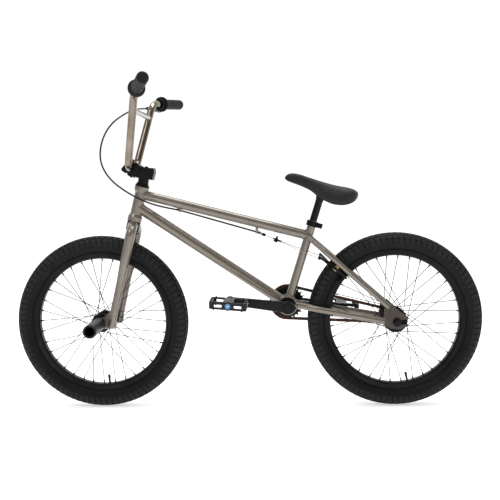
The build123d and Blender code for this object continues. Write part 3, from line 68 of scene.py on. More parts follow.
def make_camera():
    """A camera at the place and angle that the bike is seen from."""
    forward = Vector((
        math.sin(CAMERA_YAW) * math.cos(CAMERA_PITCH),
        math.cos(CAMERA_YAW) * math.cos(CAMERA_PITCH),
        -math.sin(CAMERA_PITCH),
    ))
    level_right = Vector((math.cos(CAMERA_YAW), -math.sin(CAMERA_YAW), 0))
    level_up = level_right.cross(forward)
    right = level_right * math.cos(CAMERA_ROLL) + level_up * math.sin(CAMERA_ROLL)
    up = level_up * math.cos(CAMERA_ROLL) - level_right * math.sin(CAMERA_ROLL)
    data = bpy.data.cameras.new("camera")
    data.sensor_width = 36
    data.lens = 36 * FOCAL_SHARE
    camera = bpy.data.objects.new("camera", data)
    scene.collection.objects.link(camera)
    rotation = Matrix((right, up, -forward)).transposed()
    camera.matrix_world = Matrix.Translation(CAMERA_PLACE) @ rotation.to_4x4()
    scene.camera = camera


make_camera()


# Places shared with the CAD source, in millimetres ---------------------------------------------------
def lean(angle):
    """The direction of an axis that leans back from upright, at an angle above the ground."""
    return Vector((math.cos(math.radians(angle)), 0, math.sin(math.radians(angle))))


HEAD_FOOT = Vector((-336.4, 0, 564))
HEAD_AXIS = lean(75.5)
BB = Vector((120.54, 0, 307))
SEAT_AXIS = lean(72.5)
ACROSS = Vector((0, 1, 0))
TOP_TUBE = (Vector((-315.9, 0, 643)), Vector((185.4, 0, 512.8)))
DOWN_TUBE_FRONT = Vector((-325.6, 0, 605.9))
FRONT_AXLE = Vector((-439.3, 0, 260))
REAR_AXLE = Vector((439.3, 0, 260))
CABLE_ENTRY = Vector((-200.6, 0, 594))
CABLE_STOP = Vector((36, 0, 524))
KNEE = Vector((-339, 63.6, 721))
SHOULDER = Vector((-298, 161, 925))
BAR_END = Vector((-239.9, 355, 940))
SIDES = {"left": -1, "right": 1}


# Mesh helpers ---------------------------------------------------------------------------------------
def add_mesh(name, points, faces, material, smooth=True):
    """A new object from points in millimetres."""
    mesh = bpy.data.meshes.new(name)
    mesh.from_pydata([tuple(Vector(p) * MM) for p in points], [], faces)
    mesh.update()
    mesh.materials.append(material)
    for face in mesh.polygons:
        face.use_smooth = smooth
    piece = bpy.data.objects.new(name, mesh)
    scene.collection.objects.link(piece)
    return piece


def finish_normals(piece):
    """Faces pointing outwards, with doubled points merged."""
    work = bmesh.new()
    work.from_mesh(piece.data)
    bmesh.ops.remove_doubles(work, verts=work.verts, dist=1e-6)
    bmesh.ops.recalc_face_normals(work, faces=work.faces)
    work.to_mesh(piece.data)
    work.free()
    return piece


def frame_about(direction):
    """Two directions square to one direction and to each other."""
    direction = direction.normalized()
    helper = Vector((0, 0, 1)) if abs(direction.z) < 0.9 else Vector((1, 0, 0))
    first = direction.cross(helper).normalized()
    return first, direction.cross(first)


def smooth_through(points, steps):
    """Points on a smooth line through the given ones, each a tuple of numbers."""
    ends = [points[0]] + list(points) + [points[-1]]
    line = []
    for a, b, c, d in zip(ends, ends[1:], ends[2:], ends[3:]):
        for k in range(steps):
            t = k / steps
            line.append(tuple(
                0.5 * (
                    2 * q
                    + (r - p) * t
                    + (2 * p - 5 * q + 4 * r - s) * t**2
                    + (3 * q - p - 3 * r + s) * t**3
                )
                for p, q, r, s in zip(a, b, c, d)
            ))
    line.append(tuple(points[-1]))
    return line


def lathe(name, place, direction, outline, material, steps=48, smooth=True):
    """A turned piece from (radius, height) corners along a direction."""
    direction = direction.normalized()
    first, second = frame_about(direction)
    points = []
    faces = []
    for radius, height in outline:
        for k in range(steps):
            angle = 2 * math.pi * k / steps
            side = first * math.cos(angle) + second * math.sin(angle)
            points.append(place + direction * height + side * radius)
    rows = len(outline)
    for row in range(rows):
        following = (row + 1) % rows
        for k in range(steps):
            near = (k + 1) % steps
            low = row * steps
            high = following * steps
            faces.append((low + k, low + near, high + near, high + k))
    return finish_normals(add_mesh(name, points, faces, material, smooth))


def ring_along(points, radii, sides=8):
    """Points and faces of a closed tube around a closed line."""
    made = []
    faces = []
    count = len(points)
    for k, point in enumerate(points):
        ahead = (points[(k + 1) % count] - points[k - 1]).normalized()
        first, second = frame_about(ahead)
        for j in range(sides):
            angle = 2 * math.pi * j / sides
            made.append(point + (first * math.cos(angle) + second * math.sin(angle)) * radii[k])
    for k in range(count):
        for j in range(sides):
            after = (k + 1) % count
            near = (j + 1) % sides
            faces.append((k * sides + j, k * sides + near, after * sides + near, after * sides + j))
    return made, faces


def crisp(piece, width, segments=2):
    """Rounded edges on a hard piece."""
    bevel = piece.modifiers.new("bevel", "BEVEL")
    bevel.width = width * MM
    bevel.segments = segments
    bevel.limit_method = "ANGLE"
    bevel.angle_limit = math.radians(40)
    return piece


# Materials ------------------------------------------------------------------------------------------
def new_material(name):
    """A material with its shader, and the object's own coordinates."""
    material = bpy.data.materials.new(name)
    material.use_nodes = True
    tree = material.node_tree
    shader = tree.nodes["Principled BSDF"]
    place = tree.nodes.new("ShaderNodeTexCoord").outputs["Object"]
    return material, tree, shader, place


def noise(tree, place, scale, detail=4.0, rough=0.55):
    """A cloudy pattern from 0 to 1."""
    node = tree.nodes.new("ShaderNodeTexNoise")
    node.inputs["Scale"].default_value = scale
    node.inputs["Detail"].default_value = detail
    node.inputs["Roughness"].default_value = rough
    tree.links.new(place, node.inputs["Vector"])
    return node.outputs["Fac"]


def cells(tree, place, scale, feature="F1"):
    """A pattern of cells: distance to the nearest cell's centre."""
    node = tree.nodes.new("ShaderNodeTexVoronoi")
    node.feature = feature
    node.inputs["Scale"].default_value = scale
    tree.links.new(place, node.inputs["Vector"])
    return node.outputs["Distance"]


def spread(tree, value, low, high, from_low=0.3, from_high=0.7):
    """A pattern's values stretched to a range."""
    node = tree.nodes.new("ShaderNodeMapRange")
    node.inputs["From Min"].default_value = from_low
    node.inputs["From Max"].default_value = from_high
    node.inputs["To Min"].default_value = low
    node.inputs["To Max"].default_value = high
    tree.links.new(value, node.inputs["Value"])
    return node.outputs["Result"]


def between(tree, value, first, second):
    """A colour between two others; either may be a socket."""
    node = tree.nodes.new("ShaderNodeMix")
    node.data_type = "RGBA"
    tree.links.new(value, node.inputs["Factor"])
    for socket, colour in ((node.inputs[6], first), (node.inputs[7], second)):
        if isinstance(colour, tuple):
            socket.default_value = (*colour, 1)
        else:
            tree.links.new(colour, socket)
    return node.outputs[2]


def bump(tree, shader, height, strength, distance):
    """Small relief from a pattern."""
    node = tree.nodes.new("ShaderNodeBump")
    node.inputs["Strength"].default_value = strength
    node.inputs["Distance"].default_value = distance * MM
    tree.links.new(height, node.inputs["Height"])
    tree.links.new(node.outputs["Normal"], shader.inputs["Normal"])


def distance_from_axle(tree, place, axle):
    """How far a point lies from a wheel's axle, in metres."""
    moved = tree.nodes.new("ShaderNodeVectorMath")
    moved.operation = "SUBTRACT"
    moved.inputs[1].default_value = tuple(axle * MM)
    tree.links.new(place, moved.inputs[0])
    flat = tree.nodes.new("ShaderNodeVectorMath")
    flat.operation = "MULTIPLY"
    flat.inputs[1].default_value = (1, 0, 1)
    tree.links.new(moved.outputs[0], flat.inputs[0])
    length = tree.nodes.new("ShaderNodeVectorMath")
    length.operation = "LENGTH"
    tree.links.new(flat.outputs[0], length.inputs[0])
    return length.outputs["Value"]


def coated(name, dark, light, metallic, roughness, patch=9.0, relief=0.0, relief_scale=900.0, coat=0.0,
           shine=0.5):
    """Paint, plating or plastic: cloudy colour, uneven gloss and fine relief."""
    material, tree, shader, place = new_material(name)
    cloud = spread(tree, noise(tree, place, patch), 0, 1)
    tree.links.new(between(tree, cloud, dark, light), shader.inputs["Base Color"])
    low, high = roughness
    fine = noise(tree, place, patch * 14, 6)
    tree.links.new(spread(tree, fine, low, high), shader.inputs["Roughness"])
    shader.inputs["Metallic"].default_value = metallic
    shader.inputs["Coat Weight"].default_value = coat
    shader.inputs["Coat Roughness"].default_value = 0.12
    shader.inputs["Specular IOR Level"].default_value = shine
    if relief:
        bump(tree, shader, noise(tree, place, relief_scale, 2), relief, 0.1)
    return material


def metallic_paint(name, dark, light):
    """Paint with fine bright flakes under a clear coat."""
    material, tree, shader, place = new_material(name)
    cloud = spread(tree, noise(tree, place, 6.0), 0, 1)
    base = between(tree, cloud, dark, light)
    flakes = spread(tree, cells(tree, place, 1500), 0.0, 0.35, 0.35, 0.05)
    bright = tuple(min(1.0, c * 1.7) for c in light)
    tree.links.new(between(tree, flakes, base, bright), shader.inputs["Base Color"])
    tree.links.new(spread(tree, noise(tree, place, 60, 6), 0.26, 0.36), shader.inputs["Roughness"])
    shader.inputs["Metallic"].default_value = 0.62
    shader.inputs["Coat Weight"].default_value = 0.35
    shader.inputs["Coat Roughness"].default_value = 0.1
    bump(tree, shader, noise(tree, place, 1400, 2), 0.05, 0.05)
    return material


def tyre_rubber(name, axle, painted_light_factor):
    """Black rubber: smooth moulded sidewalls and a paler outermost crown; its colour is scaled by a factor,
    set high for the tread blocks as a painted highlight on their faces.
    """
    material, tree, shader, place = new_material(name)
    reach = distance_from_axle(tree, place, axle)
    crown = spread(tree, reach, 0, 0.75, 0.2585, 0.2600)
    cloud = spread(tree, noise(tree, place, 30, 6), 0, 1)
    # The colour is scaled by the factor passed in: the tread blocks take a far higher one than the casing, a
    # painted highlight on the block faces that leaves the groove floors as painted shade.
    dark = (0.0045 * painted_light_factor, 0.0048 * painted_light_factor, 0.0052 * painted_light_factor)
    light = (0.0085 * painted_light_factor, 0.009 * painted_light_factor, 0.0098 * painted_light_factor)
    wall = between(tree, cloud, dark, light)
    # A paler colour on the outermost crown, chosen by distance from the axle.
    crown_tone = between(tree, cloud, (0.025, 0.023, 0.020), (0.085, 0.078, 0.064))
    tree.links.new(between(tree, crown, wall, crown_tone), shader.inputs["Base Color"])
    tree.links.new(spread(tree, noise(tree, place, 70, 5), 0.48, 0.66), shader.inputs["Roughness"])
    shader.inputs["Specular IOR Level"].default_value = 0.16
    bump(tree, shader, noise(tree, place, 700, 4), 0.2, 0.12)
    return material


def grained(name, dark, light, scale, roughness, strength):
    """Soft skin with a pebbled grain."""
    material, tree, shader, place = new_material(name)
    cloud = spread(tree, noise(tree, place, 14, 5), 0, 1)
    grain = cells(tree, place, scale)
    base = between(tree, cloud, dark, light)
    pores = spread(tree, grain, 0.0, 0.35, 0.25, 0.7)
    tree.links.new(between(tree, pores, base, tuple(c * 0.55 for c in dark)), shader.inputs["Base Color"])
    low, high = roughness
    tree.links.new(spread(tree, noise(tree, place, 90, 4), low, high), shader.inputs["Roughness"])
    shader.inputs["Specular IOR Level"].default_value = 0.2
    bump(tree, shader, grain, strength, 0.25)
    return material


def prismatic(name, dark, light):
    """A reflector's moulded cells."""
    material, tree, shader, place = new_material(name)
    cell = cells(tree, place, 420)
    edges = spread(tree, cell, 0, 1, 0.1, 0.6)
    tree.links.new(between(tree, edges, light, dark), shader.inputs["Base Color"])
    tree.links.new(spread(tree, cell, 0.1, 0.3, 0.1, 0.6), shader.inputs["Roughness"])
    shader.inputs["Coat Weight"].default_value = 1.0
    bump(tree, shader, cell, 0.6, 0.3)
    return material


PAINT = metallic_paint("frame_paint", (0.165, 0.142, 0.116), (0.235, 0.205, 0.172))
DROPOUT = coated("dropout_paint", (0.035, 0.025, 0.019), (0.066, 0.050, 0.039), 0.3, (0.35, 0.5), coat=0.1)
NICKEL = coated("bar_nickel", (0.15, 0.12, 0.09), (0.31, 0.265, 0.22), 1.0, (0.06, 0.14), patch=11.0)
CROSSBAR = coated("crossbar_nickel", (0.40, 0.385, 0.37), (0.54, 0.52, 0.50), 1.0, (0.16, 0.28))
BLACK_ALLOY = coated("black_alloy", (0.005, 0.005, 0.0055), (0.013, 0.013, 0.0135), 0.3, (0.28, 0.42),
                     shine=0.12)
BLACK_PAINT = coated("black_paint", (0.004, 0.004, 0.0045), (0.010, 0.010, 0.0105), 0.0, (0.16, 0.3),
                     shine=0.14)
PEG_STEEL = coated("peg_steel", (0.010, 0.010, 0.010), (0.028, 0.027, 0.026), 0.6, (0.3, 0.48), patch=24.0,
                   shine=0.3)
ZINC = coated("zinc_steel", (0.33, 0.33, 0.34), (0.52, 0.52, 0.53), 1.0, (0.25, 0.42), patch=40.0)
SPOKE = coated("spoke_steel", (0.005, 0.005, 0.0055), (0.014, 0.014, 0.0145), 0.3, (0.3, 0.45), patch=30.0,
               shine=0.2)
CHAIN = coated("chain_steel", (0.008, 0.006, 0.0055), (0.085, 0.036, 0.020), 0.7, (0.3, 0.48), patch=110.0,
               shine=0.3)
BRASS = coated("brass", (0.20, 0.135, 0.06), (0.36, 0.27, 0.14), 0.9, (0.3, 0.48), patch=60.0)
CABLE = coated("cable_plastic", (0.006, 0.006, 0.006), (0.013, 0.013, 0.013), 0.0, (0.22, 0.38), patch=30.0,
               shine=0.25)
STOP = coated("stop_brown", (0.07, 0.034, 0.017), (0.13, 0.07, 0.04), 0.5, (0.3, 0.5), patch=60.0)
PEDAL = coated("pedal_plastic", (0.005, 0.005, 0.0055), (0.013, 0.013, 0.0135), 0.0, (0.3, 0.5),
               patch=30.0, relief=0.3, relief_scale=800.0, shine=0.25)
CAP = coated("cap_blue", (0.015, 0.15, 0.38), (0.035, 0.26, 0.52), 0.1, (0.12, 0.25), patch=60.0, coat=0.5)
BUTTON = coated("cap_centre", (0.42, 0.50, 0.56), (0.60, 0.66, 0.70), 0.0, (0.2, 0.35), patch=60.0)
REFLECTOR = prismatic("reflector_orange", (0.25, 0.04, 0.008), (0.70, 0.18, 0.025))
GRIP = grained("grip_rubber", (0.010, 0.010, 0.0105), (0.019, 0.019, 0.020), 900, (0.5, 0.68), 0.25)
SADDLE = grained("saddle_skin", (0.014, 0.014, 0.0155), (0.023, 0.023, 0.025), 1100, (0.42, 0.55), 0.25)
SHELL = coated("saddle_shell", (0.006, 0.006, 0.006), (0.012, 0.012, 0.012), 0.0, (0.35, 0.55), shine=0.25)
RUBBER = coated("tube_rubber", (0.008, 0.008, 0.0085), (0.016, 0.016, 0.017), 0.0, (0.4, 0.55), patch=40.0,
                shine=0.25)
TYRES = {
    "front": tyre_rubber("tyre_front_rubber", FRONT_AXLE, 0.8),
    "rear": tyre_rubber("tyre_rear_rubber", REAR_AXLE, 0.8),
}
# The tread blocks get a lighter copy of the same rubber, 2.5 times the casing's colour: a painted highlight
# on the block faces, with the grooves left darker as painted shade.
LIT_TREADS = {
    "front": tyre_rubber("tread_front_highlit_rubber", FRONT_AXLE, 2.0),
    "rear": tyre_rubber("tread_rear_highlit_rubber", REAR_AXLE, 2.0),
}

node_finishes = {
    PAINT: ("head_tube", "top_tube", "down_tube", "seat_tube", "bottom_bracket_shell", "seat_stays",
            "chain_stays", "cable_guides", "fork_legs"),
    DROPOUT: ("rear_dropouts",),
    NICKEL: ("handlebar",),
    CROSSBAR: ("crossbar",),
    BLACK_ALLOY: ("seat_clamp", "headset_cover", "stem_body", "stem_faceplate", "front_hub", "rear_hub",
                  "front_rim", "rear_rim", "sprocket", "frame_bearings", "lever_mount", "lever_blade",
                  "brake_arm_left", "brake_arm_right", "brake_yoke"),
    BLACK_PAINT: ("fork_steerer", "stem_bolts", "rear_axle", "front_axle", "front_axle_nuts",
                  "crank_spindle", "crank_arm_left", "crank_arm_right", "pedal_spindles", "seat_post"),
    PEG_STEEL: ("front_peg",),
    ZINC: ("brake_wire", "rear_cog"),
    SPOKE: ("front_spokes", "rear_spokes"),
    CHAIN: ("chain",),
    BRASS: ("brake_bosses",),
    CABLE: ("rear_brake_housing", "front_brake_housing"),
    PEDAL: ("pedal_left", "pedal_right"),
    CAP: ("pedal_cap_left", "pedal_cap_right"),
    REFLECTOR: ("pedal_reflectors_left", "pedal_reflectors_right"),
    GRIP: ("grip_left", "grip_right"),
    SADDLE: ("saddle_cover",),
    SHELL: ("saddle_base",),
    RUBBER: ("front_inner_tube", "rear_inner_tube"),
    TYRES["front"]: ("front_tyre",),
    TYRES["rear"]: ("rear_tyre",),
}
for material, names in node_finishes.items():
    for name in names:
        nodes[name].data.materials.clear()
        nodes[name].data.materials.append(material)


# Tyres ----------------------------------------------------------------------------------------------
# Half sections from the bead to the crown, as (distance from the axle, distance from the middle).
TYRE_WALL = [(201, 11.4), (209.6, 13.6), (212, 17.4), (221, 24.0), (231, 27.4)]
GROOVE_FLOOR = [(232.5, 26.4), (240, 26.2), (247, 23.2), (253, 16.0), (256.6, 8.0), (257.6, 0)]
TREAD_TOP = [(231, 27.6), (240, 27.9), (247.6, 25.4), (254.6, 17.6), (258.7, 8.5), (259.9, 0)]
BLOCK_COUNT = 88
SECTION_STEPS = 6


def tyre_point(axle, radius, side, angle):
    """A point on a wheel, from its distance from the axle, its side and its angle."""
    return axle + Vector((radius * math.cos(angle), side, radius * math.sin(angle)))


def tyre_body(name, axle, material):
    """The tyre's casing: bead, sidewall with a moulded line, and the floor of the tread."""
    half = smooth_through(TYRE_WALL, SECTION_STEPS) + smooth_through(GROOVE_FLOOR, SECTION_STEPS)
    half = [(r - 0.35 if 218.4 < r < 219.8 else r, y - 0.5 if 218.4 < r < 219.8 else y) for r, y in half]
    outer = half + [(r, -y) for r, y in reversed(half[:-1])]
    inner = [(202, -9.8), (212, -13.0), (226, -22.0), (240, -22.0), (251, -10), (251, 10), (240, 22.0),
             (226, 22.0), (212, 13.0), (202, 9.8)]
    outline = outer + inner
    steps = 240
    points = []
    faces = []
    for k in range(steps):
        angle = 2 * math.pi * k / steps
        points += [tyre_point(axle, r, y, angle) for r, y in outline]
    count = len(outline)
    for k in range(steps):
        after = (k + 1) % steps
        for j in range(count):
            near = (j + 1) % count
            faces.append((k * count + j, after * count + j, after * count + near, k * count + near))
    return finish_normals(add_mesh(name, points, faces, material))


def block_rows():
    """Rows of tread blocks: share of the half section at each end, side, turn, width and slant."""
    rows = []
    for side in (-1, 1):
        rows.append((0.0, 0.52, side, 0.0, 0.80, 0.10))
        rows.append((0.56, 0.78, side, 0.5, 0.74, -0.22))
        rows.append((0.82, 0.985, side, 0.0 if side > 0 else 0.5, 0.70, 0.26))
    return rows


def at_share(line, share):
    """A point part of the way along a line of points."""
    place = share * (len(line) - 1)
    k = min(int(place), len(line) - 2)
    return tuple(a + (b - a) * (place - k) for a, b in zip(line[k], line[k + 1]))


def tyre_blocks(name, axle, material):
    """Raised tread blocks from the shoulders to the crown."""
    floor = smooth_through(GROOVE_FLOOR, SECTION_STEPS)
    top = smooth_through(TREAD_TOP, SECTION_STEPS)
    pitch = 2 * math.pi / BLOCK_COUNT
    points = []
    faces = []
    for low, high, side, turn, width, slant in block_rows():
        spans = 4 if low == 0.0 else 2
        for number in range(BLOCK_COUNT):
            first = len(points)
            for k in range(spans + 1):
                share = low + (high - low) * k / spans
                middle = (number + turn + slant * (k / spans - 0.5) * 2) * pitch
                for line, half, inset in ((floor, width / 2, 0.0), (top, width / 2 - 0.035, 0.008)):
                    inside = min(max(share, low + inset), high - inset)
                    radius, across = at_share(line, inside)
                    radius -= 0.6 if line is floor else 0.0
                    for edge in (-1, 1):
                        points.append(tyre_point(axle, radius, side * across, middle + edge * half * pitch))
            for k in range(spans):
                a = first + 4 * k
                b = a + 4
                faces += [(a + 2, a + 3, b + 3, b + 2), (a, a + 2, b + 2, b), (a + 3, a + 1, b + 1, b + 3)]
                faces.append((a, b, b + 1, a + 1))
            last = first + 4 * spans
            faces += [(first, first + 1, first + 3, first + 2), (last, last + 2, last + 3, last + 1)]
    piece = add_mesh(name, points, faces, material, smooth=False)
    return crisp(finish_normals(piece), 0.35, 1)


def rim_line(name, axle, side, material):
    """The rim's rolled edge beside the tyre."""
    outline = [(208.6, 15.2), (209.9, 15.4), (210.3, 16.2), (209.7, 16.9), (208.5, 16.6)]
    return lathe(name, axle, ACROSS * side, outline, material, 160)


for wheel, axle in (("front", FRONT_AXLE), ("rear", REAR_AXLE)):
    body = tyre_body(f"tyre_{wheel}_casing", axle, TYRES[wheel])
    # The blocks take the lighter copy of the rubber, a painted highlight on their faces.
    blocks = tyre_blocks(f"tyre_{wheel}_tread", axle, LIT_TREADS[wheel])
    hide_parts(f"{wheel}_tyre")
    for piece in (body, blocks):
        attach(piece, f"{wheel}_wheel")
    for name, side in SIDES.items():
        edge = rim_line(f"rim_{wheel}_edge_{name}", axle, side, BLACK_ALLOY)
        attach(edge, f"{wheel}_wheel")


# Saddle ---------------------------------------------------------------------------------------------
SADDLE_PIVOT = BB + SEAT_AXIS * 334
SADDLE_SLOPE = math.radians(15.8)
SADDLE_BACK = Vector((math.cos(SADDLE_SLOPE), 0, -math.sin(SADDLE_SLOPE)))
SADDLE_UP = Vector((math.sin(SADDLE_SLOPE), 0, math.cos(SADDLE_SLOPE)))
# Place along the saddle from nose to tail, half width, top and bottom.
SADDLE_SECTIONS = [
    (-116.5, 3, 33, 28), (-114, 9, 38, 25), (-107, 15, 44.5, 22), (-94, 19, 49, 20), (-75, 22, 50.3, 18.5),
    (-35, 27, 48, 12), (0, 38, 46.5, -3), (35, 55, 46.5, -10), (65, 64.5, 49, -6), (84, 62, 49.3, 3),
    (95, 54, 47, 12), (101, 42, 43.5, 20), (104.5, 26, 39, 26),
]


def saddle_section(half_width, top, bottom):
    """One section's open outline, from the lower left edge over the crown to the lower right edge."""
    height = top - bottom
    half = [
        (-0.90 * half_width, bottom),
        (-0.985 * half_width, bottom + 0.16 * height),
        (-1.0 * half_width, bottom + 0.38 * height),
        (-0.95 * half_width, bottom + 0.66 * height),
        (-0.78 * half_width, bottom + 0.89 * height),
        (-0.44 * half_width, bottom + 0.985 * height),
        (0.0, top),
    ]
    whole = half + [(-y, z) for y, z in reversed(half[:-1])]
    return smooth_through(whole, 3)


def saddle_skin():
    """The padded cover: one crowned skin, open underneath, with a turned-in lower edge."""
    sections = smooth_through(SADDLE_SECTIONS, 4)
    points = []
    for place, half_width, top, bottom in sections:
        for y, z in saddle_section(max(half_width, 1.5), top, bottom):
            points.append(SADDLE_PIVOT + SADDLE_BACK * place + ACROSS * y + SADDLE_UP * z)
    count = len(saddle_section(10, 10, 0))
    faces = []
    for k in range(len(sections) - 1):
        for j in range(count - 1):
            a = k * count + j
            faces.append((a, a + 1, a + count + 1, a + count))
    for row, place in ((0, SADDLE_SECTIONS[0][0] - 1), (len(sections) - 1, SADDLE_SECTIONS[-1][0] + 1.5)):
        top, bottom = sections[row][2:]
        points.append(SADDLE_PIVOT + SADDLE_BACK * place + SADDLE_UP * (top * 0.6 + bottom * 0.4))
        for j in range(count - 1):
            faces.append((row * count + j, row * count + j + 1, len(points) - 1))
    piece = finish_normals(add_mesh("saddle_skin", points, faces, SADDLE))
    thick = piece.modifiers.new("thickness", "SOLIDIFY")
    thick.thickness = 6.5 * MM
    thick.offset = -1
    soft = piece.modifiers.new("smooth", "SUBSURF")
    soft.levels = 1
    soft.render_levels = 1
    return piece


cover = saddle_skin()
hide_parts("saddle_cover")
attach(cover, "saddle")


# Front brake cable -----------------------------------------------------------------------------------
GRIP_DIRECTION = (BAR_END - SHOULDER).normalized()
GRIP_START = SHOULDER + (BAR_END - SHOULDER) * 0.33
LEVER_AHEAD = Vector((-1, 0, -0.45))
LEVER_AHEAD = (LEVER_AHEAD - GRIP_DIRECTION * LEVER_AHEAD.dot(GRIP_DIRECTION)).normalized()


def lever_place(out, ahead):
    """A point given outwards along the right grip and ahead of it."""
    return GRIP_START + GRIP_DIRECTION * (out - 6) + LEVER_AHEAD * ahead


CABLE_ROUTE = [
    lever_place(-42.5, 31), Vector((-333, 150, 910.5)), Vector((-345, 108, 904)), Vector((-358, 70, 894)),
    Vector((-375, 34, 878)), Vector((-397, 6, 856)), Vector((-418, -8, 822)), Vector((-430, -15, 782)),
    Vector((-430, -19, 742)), Vector((-415, -23, 707)), Vector((-389, -26, 677)), Vector((-355, -27, 652)),
    Vector((-317, -26.5, 630)), Vector((-280, -22, 614)), Vector((-240, -9, 602)), CABLE_ENTRY,
]


def cable_housing():
    """The brake cable's housing from the lever to the top tube, on one smooth curve."""
    data = bpy.data.curves.new("cable_route", "CURVE")
    data.dimensions = "3D"
    data.bevel_depth = 2.5 * MM
    data.bevel_resolution = 4
    data.resolution_u = 10
    data.use_fill_caps = True
    line = data.splines.new("NURBS")
    line.points.add(len(CABLE_ROUTE) - 1)
    for point, place in zip(line.points, CABLE_ROUTE):
        point.co = (*(place * MM), 1)
    line.order_u = 3
    line.use_endpoint_u = True
    drawn = bpy.data.objects.new("cable_route", data)
    scene.collection.objects.link(drawn)
    bpy.context.view_layer.update()
    mesh = bpy.data.meshes.new_from_object(drawn)
    bpy.data.objects.remove(drawn)
    mesh.materials.clear()
    mesh.materials.append(CABLE)
    piece = bpy.data.objects.new("cable_housing_front", mesh)
    scene.collection.objects.link(piece)
    return piece


housing = cable_housing()
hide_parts("front_brake_housing")
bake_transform(housing)


# Weld beads ------------------------------------------------------------------------------------------
def weld(name, start, direction, radius, other, other_direction, other_radius, material, body,
         bead=1.9):
    """A rippled bead where a tube, followed from a point on its axis, meets another tube."""
    direction = direction.normalized()
    axis = other_direction.normalized()
    first, second = frame_about(direction)
    steps = 2 * int(math.pi * radius / 1.1)
    line = []
    for k in range(steps):
        angle = 2 * math.pi * k / steps
        from_axis = start + (first * math.cos(angle) + second * math.sin(angle)) * radius - other
        flat = from_axis - axis * from_axis.dot(axis)
        run = direction - axis * direction.dot(axis)
        a = run.dot(run)
        b = 2 * flat.dot(run)
        c = flat.dot(flat) - other_radius**2
        under_root = max(b * b - 4 * a * c, 0.0)
        reach = (-b - math.sqrt(under_root)) / (2 * a)
        line.append(other + from_axis + direction * reach)
    radii = [bead * (1.0 + (0.14 if k % 2 else -0.10)) for k in range(steps)]
    points, faces = ring_along(line, radii)
    piece = finish_normals(add_mesh(name, points, faces, material))
    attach(piece, body)


def frame_weld(name, start, toward, radius, other, other_direction, other_radius, bead=1.9):
    """A bead on the painted frame."""
    weld(name, start, toward - start, radius, other, other_direction, other_radius, PAINT, "frame",
         bead)


top_middle = (TOP_TUBE[0] + TOP_TUBE[1]) / 2
down_middle = (DOWN_TUBE_FRONT + BB) / 2
seat_middle = BB + SEAT_AXIS * 120
frame_weld("weld_top_head", top_middle, TOP_TUBE[0], 14.3, HEAD_FOOT, HEAD_AXIS, 17)
frame_weld("weld_down_head", down_middle, DOWN_TUBE_FRONT, 15.9, HEAD_FOOT, HEAD_AXIS, 17)
frame_weld("weld_top_seat", top_middle, TOP_TUBE[1], 14.3, BB, SEAT_AXIS, 12.7)
frame_weld("weld_down_shell", down_middle, BB, 15.9, BB, ACROSS, 28.5)
frame_weld("weld_seat_shell", seat_middle, BB, 12.7, BB, ACROSS, 28.5)
for name, side in SIDES.items():
    stay_bend = Vector((236, 43 * side, 464.8))
    stay_top = Vector((186, 13 * side, 509.2))
    frame_weld(f"weld_seat_stay_{name}", stay_bend, stay_top, 8.5, BB, SEAT_AXIS, 12.7, 1.6)
    chain_bend = Vector((178, 31 * side, 302.2))
    chain_front = Vector((140, 26 * side, 309.0))
    frame_weld(f"weld_chain_stay_{name}", chain_bend, chain_front, 8.8, BB, ACROSS, 28.5, 1.6)
    bar_point = KNEE + (SHOULDER - KNEE) * 0.78
    upright = Vector((bar_point.x, bar_point.y * side, bar_point.z))
    slope = Vector((41, 97.4 * side, 204))
    middle = Vector((bar_point.x, 0, bar_point.z))
    weld(f"weld_crossbar_{name}", middle, upright - middle, 7.95, upright, slope, 11.1, NICKEL,
         "steering", 1.5)
    shoulder = HEAD_FOOT + HEAD_AXIS * -26 + Vector((HEAD_AXIS.z, 0, -HEAD_AXIS.x)) * 6 + ACROSS * 52 * side
    root = HEAD_FOOT + HEAD_AXIS * -14 + Vector((HEAD_AXIS.z, 0, -HEAD_AXIS.x)) + ACROSS * 12 * side
    weld(f"weld_crown_{name}", shoulder, root - shoulder, 14.5, HEAD_FOOT, HEAD_AXIS, 20, PAINT,
         "steering", 1.8)


# Bolt heads -----------------------------------------------------------------------------------------
def socket_head(name, place, direction, radius, height, flats, depth, material, body):
    """A round bolt head with a hexagonal socket, standing on a point."""
    direction = direction.normalized()
    first, second = frame_about(direction)
    steps = 24
    sixth = math.radians(60)
    edge = 0.4

    def head_point(reach, level, angle):
        """A point of the head at a distance from its axis, a height and an angle."""
        return place + direction * level + (first * math.cos(angle) + second * math.sin(angle)) * reach

    angles = [2 * math.pi * k / steps for k in range(steps)]
    points = []
    for reach, level in ((radius, 0.0), (radius, height - edge), (radius - edge, height)):
        points += [head_point(reach, level, angle) for angle in angles]
    for level in (height, height - depth):
        for angle in angles:
            corner = sixth * round(angle / sixth)
            points.append(head_point(flats / 2 / math.cos(angle - corner), level, angle))
    faces = []
    for row in range(4):
        for k in range(steps):
            near = (k + 1) % steps
            low = row * steps
            high = low + steps
            faces.append((low + k, low + near, high + near, high + k))
    faces.append(tuple(range(4 * steps, 5 * steps)))
    faces.append(tuple(reversed(range(steps))))
    piece = finish_normals(add_mesh(name, points, faces, material, smooth=False))
    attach(piece, body)
    return piece


